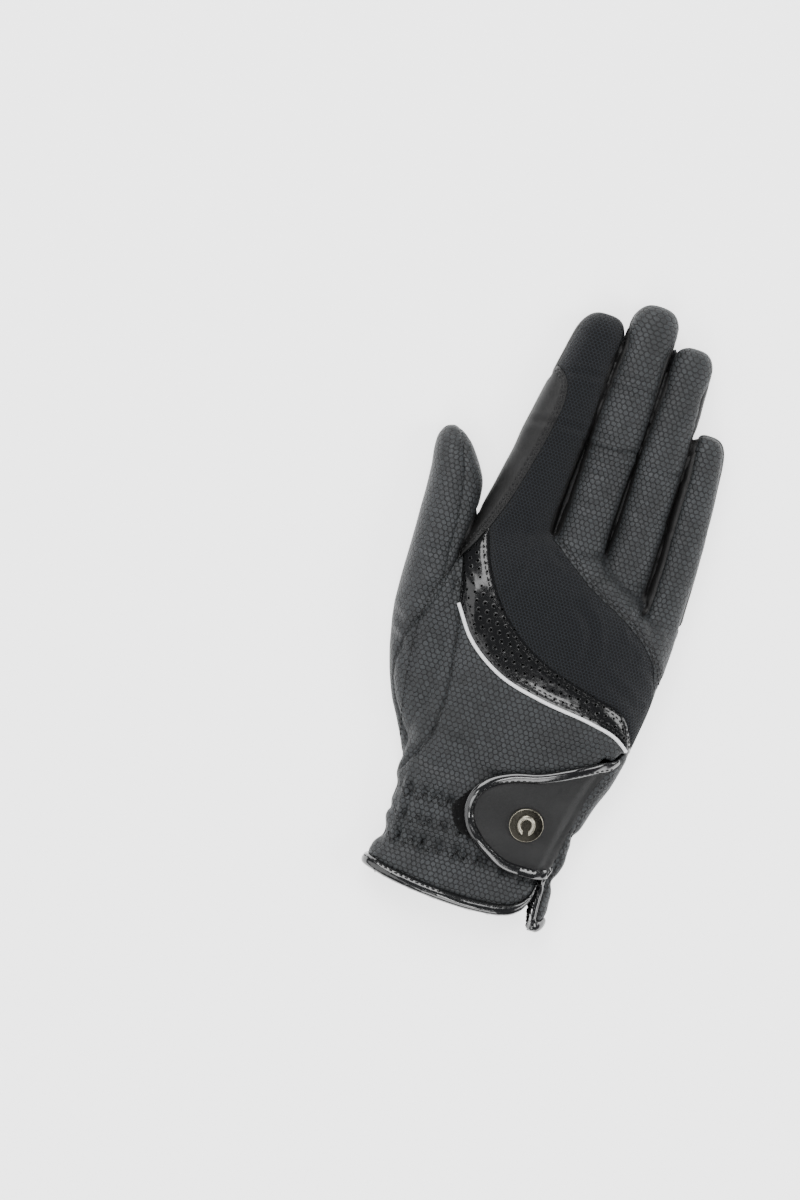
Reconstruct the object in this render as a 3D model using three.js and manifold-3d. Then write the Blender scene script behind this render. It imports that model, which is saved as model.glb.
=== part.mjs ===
// A right-hand riding glove lying palm down: a hollow hand, four fingers and a thumb, sewn from leather
// and mesh panels, with a patent band and white piping across the back, an elastic wrist, a bound cuff
// that is slit on the little-finger side, and a hook-and-loop closure tab with a metal badge.
// Millimetres. +Y runs from the cuff to the fingertips, -X is the thumb side, +Z is the back of the hand.
import * as THREE from 'three';
import { mergeVertices } from 'three/addons/utils/BufferGeometryUtils.js';
import Module from 'manifold-3d';

const wasm = await Module();
wasm.setup();

// Driving dimensions of the hand
const palmLength = 142; // cuff hem to the crotch between middle and ring finger
const palmWidth = 85; // across the knuckles, laid flat
const palmHeight = 26; // floor to the top of the back of the hand
const fingerLength = 98; // middle finger, crotch to tip
const fingerHeight = 17; // middle finger, floor to top at its root
const thumbLength = 51; // thumb crotch to tip
const thumbHeight = 20;
const wristHeight = 18;
const webSlant = 18; // how much nearer the cuff the little finger starts on the back of the hand
const palmWebShare = 0.3; // of that slant on the palm

// Driving dimensions of the leather and the trims
const wall = 1.2; // thickness of every leather and mesh panel
const seamGap = 0.3; // between two panels that are sewn together
const ventGap = 1.2; // width of the slit in the cuff under the tab
const gatherDepth = 0.7; // of the folds that the wrist elastic makes
const gatherCount = 11; // folds round the whole wrist
const pipingWidth = 1.7;
const pipingRise = 0.8; // of the piping above the leather
const cuffBindingWidth = 4.6;
const bindingRise = 0.5; // of a patent binding above what it covers
const tabReach = 41.5; // root of the tab to its round end
const tabRoot = 51.5; // length of the tab's seam along the slit
const tabThickness = 1.4;
const tabDip = 4.2; // width over which the tab comes up out of the slit
const tabBindingWidth = 3.9;
const patchLength = 34; // hook-and-loop patch under the round end of the tab
const patchWidth = 23;
const patchThickness = 0.9;
const badgeWidth = 13;
const badgeHeight = 1.8;
const badgeRim = 1.5;
const badgeRelief = 0.6;

// Facets
const handSides = 24;
const fingerSides = 10;
const seamSteps = 10;

// A place on the hand: across in percent of the palm's width, along in percent of the palm's length up to
// 100 and of the middle finger's length beyond.
const across = (percent) => (palmWidth * percent) / 100;
const along = (percent) =>
  percent <= 100 ? (palmLength * percent) / 100 : palmLength + (fingerLength * (percent - 100)) / 100;
const place = ([x, y]) => new THREE.Vector2(across(x), along(y));

// Cross sections of the hand from the cuff to the webs of the fingers. Thumb and little side are percent
// of the palm's width. Top and base are shares of the palm's height, on the wrist shares of the wrist's.
// Gather is a share of the depth of the wrist's folds.
const handSections = [
  { at: 0, thumbSide: -53, littleSide: 32.5, top: 1.14, base: 0.09, of: wristHeight, gather: 0 },
  { at: 4, thumbSide: -52.5, littleSide: 32.6, top: 1.09, base: 0.09, of: wristHeight, gather: 0 },
  { at: 8, thumbSide: -51, littleSide: 32, top: 1.04, base: 0.09, of: wristHeight, gather: 0.4 },
  { at: 14, thumbSide: -48, littleSide: 31, top: 0.97, base: 0.1, of: wristHeight, gather: 1 },
  { at: 18.5, thumbSide: -50, littleSide: 32.4, top: 1.06, base: 0.07, of: wristHeight, gather: 0.7 },
  { at: 23, thumbSide: -48.2, littleSide: 32.8, top: 1.0, base: 0.1, of: wristHeight, gather: 1 },
  { at: 28, thumbSide: -50, littleSide: 35, top: 1.08, base: 0.07, of: wristHeight, gather: 0.8 },
  { at: 34, thumbSide: -50, littleSide: 37.6, top: 0.77, base: 0, of: palmHeight, gather: 0.35 },
  { at: 43, thumbSide: -51.5, littleSide: 42.5, top: 0.85, base: 0, of: palmHeight, gather: 0 },
  { at: 62, thumbSide: -54, littleSide: 47.6, top: 0.97, base: 0, of: palmHeight, gather: 0 },
  { at: 79, thumbSide: -54.6, littleSide: 49.3, top: 1, base: 0, of: palmHeight, gather: 0 },
  { at: 88, thumbSide: -54, littleSide: 49.8, top: 0.96, base: 0, of: palmHeight, gather: 0 },
  { at: 95, thumbSide: -52.3, littleSide: 50, top: 0.86, base: 0.01, of: palmHeight, gather: 0 },
  { at: 99.5, thumbSide: -50.5, littleSide: 49.4, top: 0.71, base: 0.07, of: palmHeight, gather: 0 },
  { at: 102, thumbSide: -48, littleSide: 47.5, top: 0.52, base: 0.18, of: palmHeight, gather: 0 },
];

// Fingers: root and tip place in percent of the hand, half widths at root and tip in percent of the palm's
// width, how far it bows sideways, and height as a share of the middle finger's.
const fingers = [
  { name: 'index', rootX: -36.5, webY: 100.5, tipX: -23, tipY: 190.8, rootHalf: 18.3, tipHalf: 9.7, bow: 0, height: 0.97 },
  { name: 'middle', rootX: -4, webY: 100, tipX: -1.5, tipY: 200, rootHalf: 11.6, tipHalf: 11, bow: 0, height: 1 },
  { name: 'ring', rootX: 20, webY: 99, tipX: 19.6, tipY: 188.8, rootHalf: 11.2, tipHalf: 9.6, bow: 0, height: 0.95 },
  { name: 'little', rootX: 42.4, webY: 90, tipX: 39, tipY: 158, rootHalf: 9.5, tipHalf: 8, bow: 1.5, height: 0.84 },
];
const fingerRootDepth = 12; // percent of the palm's length that each finger starts inside the hand

// Profile of every finger from its root to where the tip starts to round off: widening of its half width,
// top and base as shares of its height.
const fingerProfile = [
  { at: 0, swell: 0.8, top: 0.88, base: 0.1 },
  { at: 0.13, swell: 1, top: 1.04, base: 0.01 },
  { at: 0.3, swell: 0.99, top: 1.05, base: 0.06 },
  { at: 0.45, swell: 0.99, top: 1.01, base: 0.13 },
  { at: 0.55, swell: 1.02, top: 1.03, base: 0.13 },
  { at: 0.74, swell: 1, top: 0.96, base: 0.07 },
  { at: 0.9, swell: 0.99, top: 0.88, base: 0.01 },
];
const tipRings = [0, 36, 68]; // degrees round the dome of a fingertip

// Thumb from its mound to its tip. Outer and inner side are percent of the palm's width, top and base are
// shares of the thumb's height. Up to its crotch it follows the palm, beyond that its own length.
const thumbCrotch = 86; // percent of the palm's length
const thumbSections = [
  { palm: 29, outer: -46, inner: -22, top: 0.5, base: 0.12 },
  { palm: 39, outer: -54, inner: -23, top: 0.68, base: 0 },
  { palm: 48, outer: -62.5, inner: -28, top: 0.83, base: 0 },
  { palm: 58, outer: -69, inner: -34, top: 0.94, base: 0 },
  { palm: 70, outer: -74, inner: -42, top: 1, base: 0 },
  { palm: 84, outer: -75.6, inner: -49, top: 1, base: 0.03 },
  { free: 0.07, outer: -75.8, inner: -56, top: 0.97, base: 0.05 },
  { free: 0.28, outer: -76.2, inner: -53.8, top: 0.94, base: 0.06 },
  { free: 0.5, outer: -76.9, inner: -53.8, top: 0.9, base: 0.04 },
  { free: 0.68, outer: -77.8, inner: -54.6, top: 0.84, base: 0.01 },
  { free: 0.82, outer: -78.9, inner: -59.5, top: 0.75, base: 0 },
  { free: 0.93, outer: -78.5, inner: -65, top: 0.62, base: 0.06 },
  { free: 0.985, outer: -76.2, inner: -69.8, top: 0.48, base: 0.18 },
];

// Height of the seam between back and palm along the hand, as shares of the palm's height.
const sideSeam = [[-10, 0.36], [14, 0.34], [43, 0.42], [68, 0.45], [82, 0.38], [100, 0.35], [125, 0.35], [160, 0.32], [192, 0.28], [215, 0.26]];

// Seams on the back of the hand, seen from above
const pipingSeam = [[-70, 94], [-56, 83], [-48, 77], [-37, 68.3], [-20, 61.8], [1, 58.8], [25.6, 57], [37, 55.4], [45, 52.2], [54, 46]];
const bandSeam = [[-60, 118], [-45.4, 98.5], [-40.5, 90.4], [-30.4, 80.5], [-15.8, 72.5], [0.4, 67.6], [20, 64.4], [38.7, 60.9], [44.5, 56], [48, 50]];
const knuckleSeam = [[-16, 101.5], [-7.2, 97], [7.9, 90.7], [25, 85.8], [39.3, 79.7], [47.5, 72.7], [51, 66], [53, 58]];
const gussetSeam = [[-56, 96], [-52, 88], [-49, 80], [-44.4, 66.5], [-41, 50], [-42.1, 40.6], [-46.2, 34.5], [-53, 25], [-62, 12]];
const gussetFold = [[-54, 88], [-56.5, 80], [-60.4, 72.5], [-65.2, 66.3], [-66.5, 57], [-62.5, 46.5], [-58, 38], [-56, 31], [-66, 22]];
const indexStripSeam = [[-58, 80], [-54, 88], [-45.4, 98.5], [-40.8, 108.7], [-35.6, 126.6], [-32, 142], [-30.6, 155], [-32, 161], [-37.5, 165.7], [-46, 170]];
const ventSeam = [[28, -8], [26.6, 2.5], [26, 7], [27, 14], [30.5, 29.3], [34.2, 39.6], [39.5, 47.3], [47, 54]];

// Seams on the palm, seen from above through the hand
const gripSeam = [[-60, 88], [-45, 90], [-23, 92.3], [2, 93], [30, 91.5], [62, 87]];
const crossSeam = [[-22, 131.5], [-14, 130.6], [10, 129.6], [35, 126], [62, 116]];
const moundSeam = [[-56, 88], [-45, 85.4], [-34, 83.8], [-26.6, 76.8], [-19.2, 66.9], [-17.6, 57], [-23.5, 48.6], [-35.3, 39.4], [-47, 33.8], [-62, 30]];
const indexPalmSeam = [[-62, 80], [-45, 85.4], [-42.7, 99.8], [-40, 125], [-35.3, 151.6], [-41, 164], [-50, 168]];

// Where the thumb stands free of the index finger, and the seam along the thumb's inner side
const thumbGap = [[-54, 88], [-53.9, 92], [-53.2, 97], [-52.2, 104], [-50.5, 112], [-48, 120], [-46, 150]];
const thumbSeam = [[-57.6, 83], [-58.6, 90], [-59.2, 96], [-60.4, 103.6], [-62, 111.7], [-64.5, 119.7], [-69.5, 130], [-74, 136]];

// Closure tab: along its root at the slit and out from it, as shares of the root and of the reach
const tabOutline = [[1.02, 0], [0.94, 0.11], [0.79, 0.32], [0.65, 0.53], [0.54, 0.77], [0.45, 0.9], [0.35, 0.98], [0.25, 1], [0.14, 0.97], [0.04, 0.88], [-0.03, 0.75], [-0.08, 0.59], [-0.105, 0.4], [-0.08, 0.21], [-0.02, 0]];
const tabFoot = [27, 14]; // lower end of the root, on the slit
const tabLean = 13; // degrees that the root leans towards the little finger
const badgeSpot = [0.27, 0.41];
const patchSpot = [0.22, 0.69];
const patchTurn = 14; // degrees

// A three.js geometry as a solid for cutting and joining
function solidOf(geometry) {
  const bare = geometry.clone();
  bare.deleteAttribute('normal');
  bare.deleteAttribute('uv');
  const merged = mergeVertices(bare, 1e-4);
  const vertProperties = merged.attributes.position.array;
  return new wasm.Manifold(new wasm.Mesh({ numProp: 3, vertProperties, triVerts: new Uint32Array(merged.index.array) }));
}

// A closed body through rings of points that all run the same way round
function loft(rings) {
  const sides = rings[0].length;
  const points = rings.flat();
  const index = [];
  for (let row = 0; row < rings.length - 1; row++) {
    for (let side = 0; side < sides; side++) {
      const a = row * sides + side;
      const b = row * sides + ((side + 1) % sides);
      index.push(a, a + sides, b, b, a + sides, b + sides);
    }
  }
  for (const [row, flip] of [[0, false], [rings.length - 1, true]]) {
    const centre = new THREE.Vector3();
    rings[row].forEach((point) => centre.addScaledVector(point, 1 / sides));
    points.push(centre);
    for (let side = 0; side < sides; side++) {
      const a = row * sides + side;
      const b = row * sides + ((side + 1) % sides);
      index.push(...(flip ? [b, a] : [a, b]), points.length - 1);
    }
  }
  return solidOf(new THREE.BufferGeometry().setFromPoints(points).setIndex(index));
}

// A closed body through rings that are the top and bottom lines of a sheet, capped by strips
function stacked(rings) {
  const sides = rings[0].length;
  const index = [];
  for (let row = 0; row < rings.length - 1; row++) {
    for (let side = 0; side < sides; side++) {
      const a = row * sides + side;
      const b = row * sides + ((side + 1) % sides);
      index.push(a, a + sides, b, b, a + sides, b + sides);
    }
  }
  const last = (rings.length - 1) * sides;
  for (let i = 0; i < sides / 2 - 1; i++) {
    const j = sides - 1 - i;
    index.push(i, i + 1, j, i + 1, j - 1, j);
    index.push(last + i, last + j, last + i + 1, last + i + 1, last + j, last + j - 1);
  }
  const body = solidOf(new THREE.BufferGeometry().setFromPoints(rings.flat()).setIndex(index));
  if (body.volume() < 0) throw new Error('a sheet faces inwards');
  return body;
}

// One ring of a rounded cross section: from x0 to x1 and from z0 to z1, flattened on the floor. Each side
// of the box is drawn in by the inset, which is negative for a layer that lies outside the leather.
function ring({ x0, x1, z0, z1 }, inset, sides, squareness, shape) {
  const halfWidth = (x1 - x0) / 2 - inset;
  const middle = (x0 + x1) / 2;
  const split = z0 + (z1 - z0) * 0.45;
  const points = [];
  for (let side = 0; side < sides; side++) {
    const angle = (2 * Math.PI * (side + 0.5)) / sides;
    const [c, s] = [Math.cos(angle), Math.sin(angle)];
    const reach = s > 0 ? z1 - split - inset : split - z0 - inset;
    const power = 2 / (s > 0 ? squareness : squareness + 0.5);
    const x = middle + halfWidth * Math.sign(c) * Math.abs(c) ** (2 / squareness);
    const z = split + reach * Math.sign(s) * Math.abs(s) ** power;
    const moved = shape ? shape(x, z, angle) : { x, z };
    points.push(new THREE.Vector3(moved.x, moved.y, Math.max(moved.z, inset)));
  }
  return points;
}

// The smooth step from 0 to 1 between two values
const step = THREE.MathUtils.smoothstep;

// The hand as a closed body, drawn in by the inset. A mouth beyond the cuff opens a hollow, and a rise
// lifts what lies over the back of the hand.
function hand(inset, mouth = 0, rise = () => 0) {
  const first = handSections[0];
  const sections = mouth ? [{ ...first, at: first.at - (100 * mouth) / palmLength }, ...handSections] : handSections;
  return loft(
    sections.map((section, row) => {
      const last = row === sections.length - 1;
      const y = along(section.at) - (last ? Math.max(inset, 0) : 0);
      const share = Math.min(section.at, 100) / 100;
      const box = {
        x0: across(section.thumbSide),
        x1: across(section.littleSide),
        z0: section.of * section.base - 0.6,
        z1: section.of * section.top,
      };
      return ring(box, inset, handSides, 2.5, (x, z, angle) => {
        const free = angle < Math.PI ? 1 - step(x, across(-24), across(-8)) : 1;
        const fold = gatherDepth * section.gather * free * Math.cos(gatherCount * angle);
        const side = z > section.of * 0.35 ? 1 : palmWebShare;
        const webBack = side * webSlant * step(x, across(2), across(42)) * Math.max(share, 0) ** 4;
        const slot = last ? 0 : Math.max(inset, 0) * share ** 12;
        const lift = z > wristHeight / 2 ? rise(x, y) : 0;
        return { x: x + fold * Math.cos(angle), y: y - webBack - slot, z: z + fold * Math.sin(angle) + lift };
      });
    }),
  );
}

// The half width, top and base of a finger at a share of its length from the root
function fingerAt(finger, share) {
  const rows = fingerProfile;
  const next = Math.min(rows.length - 1, Math.max(1, rows.findIndex((row) => row.at >= share)));
  const [a, b] = [rows[next - 1], rows[next < 1 ? rows.length - 1 : next]];
  const t = THREE.MathUtils.clamp((share - a.at) / (b.at - a.at), 0, 1);
  const mix = (column) => THREE.MathUtils.lerp(a[column], b[column], t);
  return {
    x: across(THREE.MathUtils.lerp(finger.rootX, finger.tipX, share) + finger.bow * Math.sin(Math.PI * share)),
    half: across(THREE.MathUtils.lerp(finger.rootHalf, finger.tipHalf, share)) * mix('swell'),
    top: fingerHeight * finger.height * mix('top'),
    base: fingerHeight * finger.height * mix('base') - 0.6,
  };
}

const fingerStart = (finger) => along(finger.webY - fingerRootDepth);

// One finger as a closed body with a domed tip, drawn in by the inset
function fingerBody(finger, inset) {
  const start = fingerStart(finger);
  const dome = across(finger.tipHalf) * 1.15;
  const straight = along(finger.tipY) - dome - start;
  const whole = straight + dome;
  const rows = fingerProfile.map((row) => ({ share: (row.at * straight) / whole, scale: 1 }));
  for (const degrees of tipRings) {
    const turn = THREE.MathUtils.degToRad(degrees);
    rows.push({ share: (straight + (dome - inset) * Math.sin(turn)) / whole, scale: Math.cos(turn) ** 0.75 });
  }
  return loft(
    rows.map(({ share, scale }) => {
      const { x, half, top, base } = fingerAt(finger, share);
      const middle = base + (top - base) * 0.42;
      const box = {
        x0: x - (half - inset) * scale - inset,
        x1: x + (half - inset) * scale + inset,
        z0: middle - (middle - base - inset) * scale - inset,
        z1: middle + (top - middle - inset) * scale + inset,
      };
      return ring(box, inset, fingerSides, 2.4, (px, pz) => ({ x: px, y: start + share * whole, z: pz }));
    }),
  );
}

// The thumb and its mound as a closed body, drawn in by the inset
function thumbBody(inset) {
  return loft(
    thumbSections.map((section, row) => {
      const last = row === thumbSections.length - 1;
      const free = along(thumbCrotch) + thumbLength * (section.free ?? 0);
      const y = (section.palm === undefined ? free : along(section.palm)) - (last ? inset : 0);
      const box = {
        x0: across(section.outer),
        x1: across(section.inner),
        z0: thumbHeight * section.base - 0.6,
        z1: thumbHeight * section.top,
      };
      return ring(box, inset, fingerSides + 4, 2.3, (x, z) => ({ x, y, z }));
    }),
  );
}

// An upright block over an outline seen from above
const far = 400;
function upright(outline, low = -far, high = far) {
  const block = new THREE.ExtrudeGeometry(new THREE.Shape(outline), { depth: high - low, bevelEnabled: false });
  return solidOf(block.translate(0, 0, low));
}

// A block that runs through the whole hand from side to side, over an outline in Y and Z
function crosswise(outline) {
  const block = new THREE.ExtrudeGeometry(new THREE.Shape(outline), { depth: 2 * far, bevelEnabled: false });
  const turn = new THREE.Matrix4().set(0, 0, 1, -far, 1, 0, 0, 0, 0, 1, 0, 0, 0, 0, 0, 1);
  return solidOf(block.applyMatrix4(turn));
}

// A smooth seam through its listed places
const seam = (places, steps = seamSteps) => new THREE.SplineCurve(places.map(place)).getPoints(steps);

// A line moved to its left by a distance, seen along it
function beside(line, distance) {
  return line.map((point, i) => {
    const before = line[Math.max(i - 1, 0)];
    const after = line[Math.min(i + 1, line.length - 1)];
    const run = after.clone().sub(before).normalize();
    return new THREE.Vector2(point.x - run.y * distance, point.y + run.x * distance);
  });
}

// Everything on one side of a seam, kept half a gap clear of it
const corner = (x, y) => new THREE.Vector2(x, y);
const over = (line, gap = seamGap / 2) => {
  const edge = beside(line, gap);
  return upright([...edge, corner(far, edge.at(-1).y), corner(far, far), corner(-far, far), corner(-far, edge[0].y)]);
};
const under = (line, gap = seamGap / 2) => {
  const edge = beside(line, -gap);
  return upright([...edge, corner(far, edge.at(-1).y), corner(far, -far), corner(-far, -far), corner(-far, edge[0].y)]);
};
const upward = (line) => (line[0].y < line.at(-1).y ? line : [...line].reverse());
const leftOf = (line, gap = seamGap / 2) => {
  const edge = beside(upward(line), gap);
  return upright([corner(edge[0].x, -far), ...edge, corner(edge.at(-1).x, far), corner(-far, far), corner(-far, -far)]);
};
const rightOf = (line, gap = seamGap / 2) => {
  const edge = beside(upward(line), -gap);
  return upright([corner(edge[0].x, -far), ...edge, corner(edge.at(-1).x, far), corner(far, far), corner(far, -far)]);
};

const joined = (solids) => solids.reduce((all, next) => all.add(next));
const kept = (...solids) => solids.reduce((all, next) => all.intersect(next));


// The whole glove's leather: outer bodies less the hollow that a hand goes into
const outside = joined([hand(0), thumbBody(0), ...fingers.map((finger) => fingerBody(finger, 0))]);
const hollow = joined([hand(wall, 12), thumbBody(wall), ...fingers.map((finger) => fingerBody(finger, wall))]);
const skin = outside.subtract(hollow);

// Above and below the seam between back and palm, where a gap of 0 keeps a panel whole across it
const seamLine = sideSeam.map(([y, share]) => new THREE.Vector2(along(y), palmHeight * share));
const back = (gap = seamGap / 2) =>
  crosswise([...seamLine.map((point) => corner(point.x, point.y + gap)), corner(seamLine.at(-1).x, far), corner(seamLine[0].x, far)]);
const front = (gap = seamGap / 2) =>
  crosswise([...seamLine.map((point) => corner(point.x, point.y - gap)), corner(seamLine.at(-1).x, -far), corner(seamLine[0].x, -far)]);
const touch = -0.01; // in place of a gap, where two regions belong to one panel

// Fourchettes: the strips between two fingers, from the crotch to a point short of both tips
const fourchettes = [
  { name: 'index_middle_fourchette', left: fingers[0], right: fingers[1], gapFoot: -16.8, gapHead: -12.8 },
  { name: 'middle_ring_fourchette', left: fingers[1], right: fingers[2], gapFoot: 8.1, gapHead: 10.2 },
  { name: 'ring_little_fourchette', left: fingers[2], right: fingers[3], gapFoot: 32.4, gapHead: 31.4 },
];
const innerStripLow = 6; // lower edge of the thumb's inner strip over the floor
const fourchetteBase = 0.26; // share of the finger's height
const fourchetteTop = 0.74;
const fourchetteTaper = 12; // percent of the finger's length, over which it comes to a point
const fourchetteEnd = 7.5; // percent of the finger's length, short of the tip
const fourchetteStart = 7; // percent of the palm's length, before the crotch

function fourchetteBand(finger, root, grow) {
  const low = fingerHeight * finger.height * fourchetteBase - grow;
  const high = fingerHeight * finger.height * fourchetteTop + grow;
  const start = along(root - fourchetteStart) - grow;
  const end = along(finger.tipY - fourchetteEnd) + grow;
  const taper = end - (fingerLength * fourchetteTaper) / 100;
  const middle = (low + high) / 2 - 0.8;
  return crosswise([
    corner(start, low), corner(taper, low), corner(end, middle - 1 - grow),
    corner(end, middle + 1 + grow), corner(taper, high), corner(start, high),
  ]);
}

function fourchetteRegion({ left, right, gapFoot, gapHead }, grow = 0) {
  const root = Math.min(left.webY, right.webY);
  const middle = seam([[gapFoot, root - 20], [gapHead, 200]], 1);
  const leftEdge = seam([[left.rootX, root - 20], [left.tipX, 200]], 1);
  const rightEdge = seam([[right.rootX, root - 20], [right.tipX, 200]], 1);
  return joined([
    kept(rightOf(leftEdge, 0), leftOf(middle, touch), fourchetteBand(left, root, grow)),
    kept(rightOf(middle, touch), leftOf(rightEdge, 0), fourchetteBand(right, root, grow)),
  ]);
}
const fourchetteSpace = joined(fourchettes.map((each) => fourchetteRegion(each, seamGap)));
const sheets = skin.subtract(fourchetteSpace);

// Plan regions of the panels
const piping = seam(pipingSeam, 12);
const band = seam(bandSeam, 12);
const knuckles = [...seam([[-12.9, 200], [-15.8, 104]], 1), ...seam(knuckleSeam)];
const vent = seam(ventSeam);
const mound = seam(moundSeam, 16);
const grip = seam(gripSeam, 10);
const cross = seam(crossSeam, 8);
const stripBack = seam(indexStripSeam, 14);
const stripFront = seam(indexPalmSeam, 8);
const gusset = seam(gussetSeam);
const thumbBack = [...seam([...gussetFold].reverse(), 18), ...seam(thumbGap, 12).slice(1)];
const thumbFront = [...seam(moundSeam, 16).reverse(), ...seam([[-56, 88], ...thumbGap.slice(1)], 8).slice(1)];
const thumbStripSeam = seam(thumbSeam, 12);
const wristEnd = along(52);


// The thumb's panel goes round it, so it reaches to its back seam above and to its front seam below
const thumbSpace = (gap) =>
  joined([leftOf(thumbBack, gap), kept(leftOf(thumbFront, gap), front(gap > 0 ? seamGap / 2 : touch))]);
const clearOfThumb = sheets.subtract(thumbSpace(-seamGap / 2));
const thumbSheet = kept(sheets, thumbSpace(seamGap / 2));
const innerStripSpace = (gap) => {
  const floor = crosswise([corner(along(80), innerStripLow - gap), corner(far, innerStripLow - gap), corner(far, far), corner(along(80), far)]);
  return kept(rightOf(thumbStripSeam, -gap), floor);
};

// The index strip goes round the thumb side of the index finger in the same way
const stripFoot = seam([[-70, 84], [-54, 88], [-45.4, 98.5], [-38, 104]], 8);
const stripSpace = (gap) =>
  joined([
    kept(leftOf(stripBack, gap), over(stripFoot, gap), back(touch)),
    kept(leftOf(stripFront, gap), over(mound, gap), front(touch)),
  ]);

// The back of the wrist ends at the slit, and the palm comes round the little-finger side up to it
const ventEdge = beside(vent, ventGap);
const wristBack = crosswise([corner(-far, -far), corner(wristEnd, -far), corner(wristEnd, far), corner(-far, far)]);
const palmWrap = kept(rightOf(vent, 0), wristBack);

const tabMouth = (line, low, high) => {
  const edge = line.filter((point) => point.y > low && point.y < high);
  return upright([...edge, ...beside(edge, tabDip + seamGap).reverse()].reverse());
};

const backSheet = clearOfThumb.subtract(stripSpace(-seamGap / 2));
const upper = kept(backSheet, back()).subtract(kept(rightOf(vent, -ventGap), crosswise([corner(-far, -far), corner(wristEnd + seamGap, -far), corner(wristEnd + seamGap, far), corner(-far, far)])));
const lower = joined([kept(backSheet, front()), kept(clearOfThumb, palmWrap)]);

const half = pipingWidth / 2 + seamGap;
const [afterIndex, afterMiddle, afterRing] = fourchettes.map((each) => seam([[each.gapFoot, 70], [each.gapHead, 200]], 1));
const fronts = kept(lower, over(cross));

const panels = {
  lower_back_panel: kept(upper, under(piping, half), rightOf(gusset)).subtract(tabMouth(seam(ventSeam, 30), 17, 72)),
  patent_band: kept(upper, over(piping, half), under(band), rightOf(gusset)),
  thumb_gusset: kept(upper, leftOf(gusset), under(stripFoot)),
  mesh_panel: kept(upper, over(band), leftOf(knuckles)),
  knuckle_panel: kept(upper, rightOf(knuckles)),
  index_side_strip: kept(clearOfThumb, stripSpace(seamGap / 2)),
  palm_panel: kept(lower, under(grip)),
  grip_panel: kept(lower, over(grip), joined([under(cross), leftOf(afterIndex, 0)])),
  middle_front: kept(fronts, rightOf(afterIndex, 0), leftOf(afterMiddle, 0)),
  ring_front: kept(fronts, rightOf(afterMiddle, 0), leftOf(afterRing, 0)),
  little_front: kept(fronts, rightOf(afterRing, 0)),
  thumb_panel: thumbSheet.subtract(innerStripSpace(seamGap / 2)),
  thumb_inner_strip: kept(thumbSheet, innerStripSpace(-seamGap / 2)),
};
for (const each of fourchettes) panels[each.name] = kept(skin, fourchetteRegion(each));


// White piping in the seam between lower back and band, standing up from the leather
const layer = (low, high, mouth = 0) => hand(-high, mouth).subtract(hand(-low, mouth + 6));
const pipingStrip = kept(over(piping, -pipingWidth / 2), under(piping, -pipingWidth / 2), rightOf(gusset), back());
panels.white_piping = kept(layer(-wall, pipingRise), pipingStrip).subtract(kept(rightOf(vent, -seamGap), wristBack));

// Patent binding folded round the cuff's hem, inside and out, open at the slit
const band0 = seamGap + bindingRise;
const fold = hand(-band0, seamGap + bindingRise).subtract(hand(wall + band0, 12));
const clearance = hand(-seamGap, seamGap).subtract(hand(wall + seamGap, 12));
const nearHem = crosswise([corner(-far, -far), corner(cuffBindingWidth, -far), corner(cuffBindingWidth, far), corner(-far, far)]);
const slit = kept(rightOf(vent, -ventGap), leftOf(vent, 0), back(touch));
panels.cuff_binding = kept(fold.subtract(clearance), nearHem).subtract(slit);

// Closure tab: a sheet that comes up out of the slit and lies over the back of the wrist. Its rise over the
// leather is listed against the distance from the slit.
const tabRises = [[0, -1], [1.4, -0.9], [tabDip, 0.4], [6, 0.5], [10.5, 1.65], [60, 1.65]];
const lean = THREE.MathUtils.degToRad(tabLean);
const rootWay = corner(Math.sin(lean), Math.cos(lean));
const outWay = corner(-Math.cos(lean), Math.sin(lean));
const onTab = ([root, out]) => place(tabFoot).addScaledVector(rootWay, root * tabRoot).addScaledVector(outWay, out * tabReach);
const rim = new THREE.SplineCurve(tabOutline.map(onTab)).getPoints(16);

function atSlit(y) {
  const next = Math.max(1, vent.findIndex((point) => point.y > y));
  const [a, b] = [vent[next - 1], vent[next]];
  return THREE.MathUtils.lerp(a.x, b.x, (y - a.y) / (b.y - a.y));
}

function riseAt(distance) {
  const next = Math.max(1, tabRises.findIndex(([reach]) => reach > distance));
  const [[d0, r0], [d1, r1]] = [tabRises[next - 1], tabRises[next]];
  return THREE.MathUtils.lerp(r0, r1, THREE.MathUtils.clamp((distance - d0) / (d1 - d0), 0, 1));
}

// The height of the back of the hand under a place, found on its facets
function geometryOf(solid) {
  const { vertProperties, triVerts } = solid.getMesh();
  const geometry = new THREE.BufferGeometry();
  geometry.setAttribute('position', new THREE.BufferAttribute(new Float32Array(vertProperties), 3));
  return geometry.setIndex(new THREE.BufferAttribute(new Uint32Array(triVerts), 1));
}
const handMesh = new THREE.Mesh(geometryOf(hand(0)), new THREE.MeshBasicMaterial());
function heightAt(x, y) {
  for (let back = 0; back < 12; back += 0.5) {
    const ray = new THREE.Raycaster(new THREE.Vector3(x - back, y, far), new THREE.Vector3(0, 0, -1));
    const [hit] = ray.intersectObject(handMesh);
    if (hit && hit.point.z > wristHeight / 2) return hit.point.z - back * 0.8;
  }
  return wristHeight / 2;
}

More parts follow.
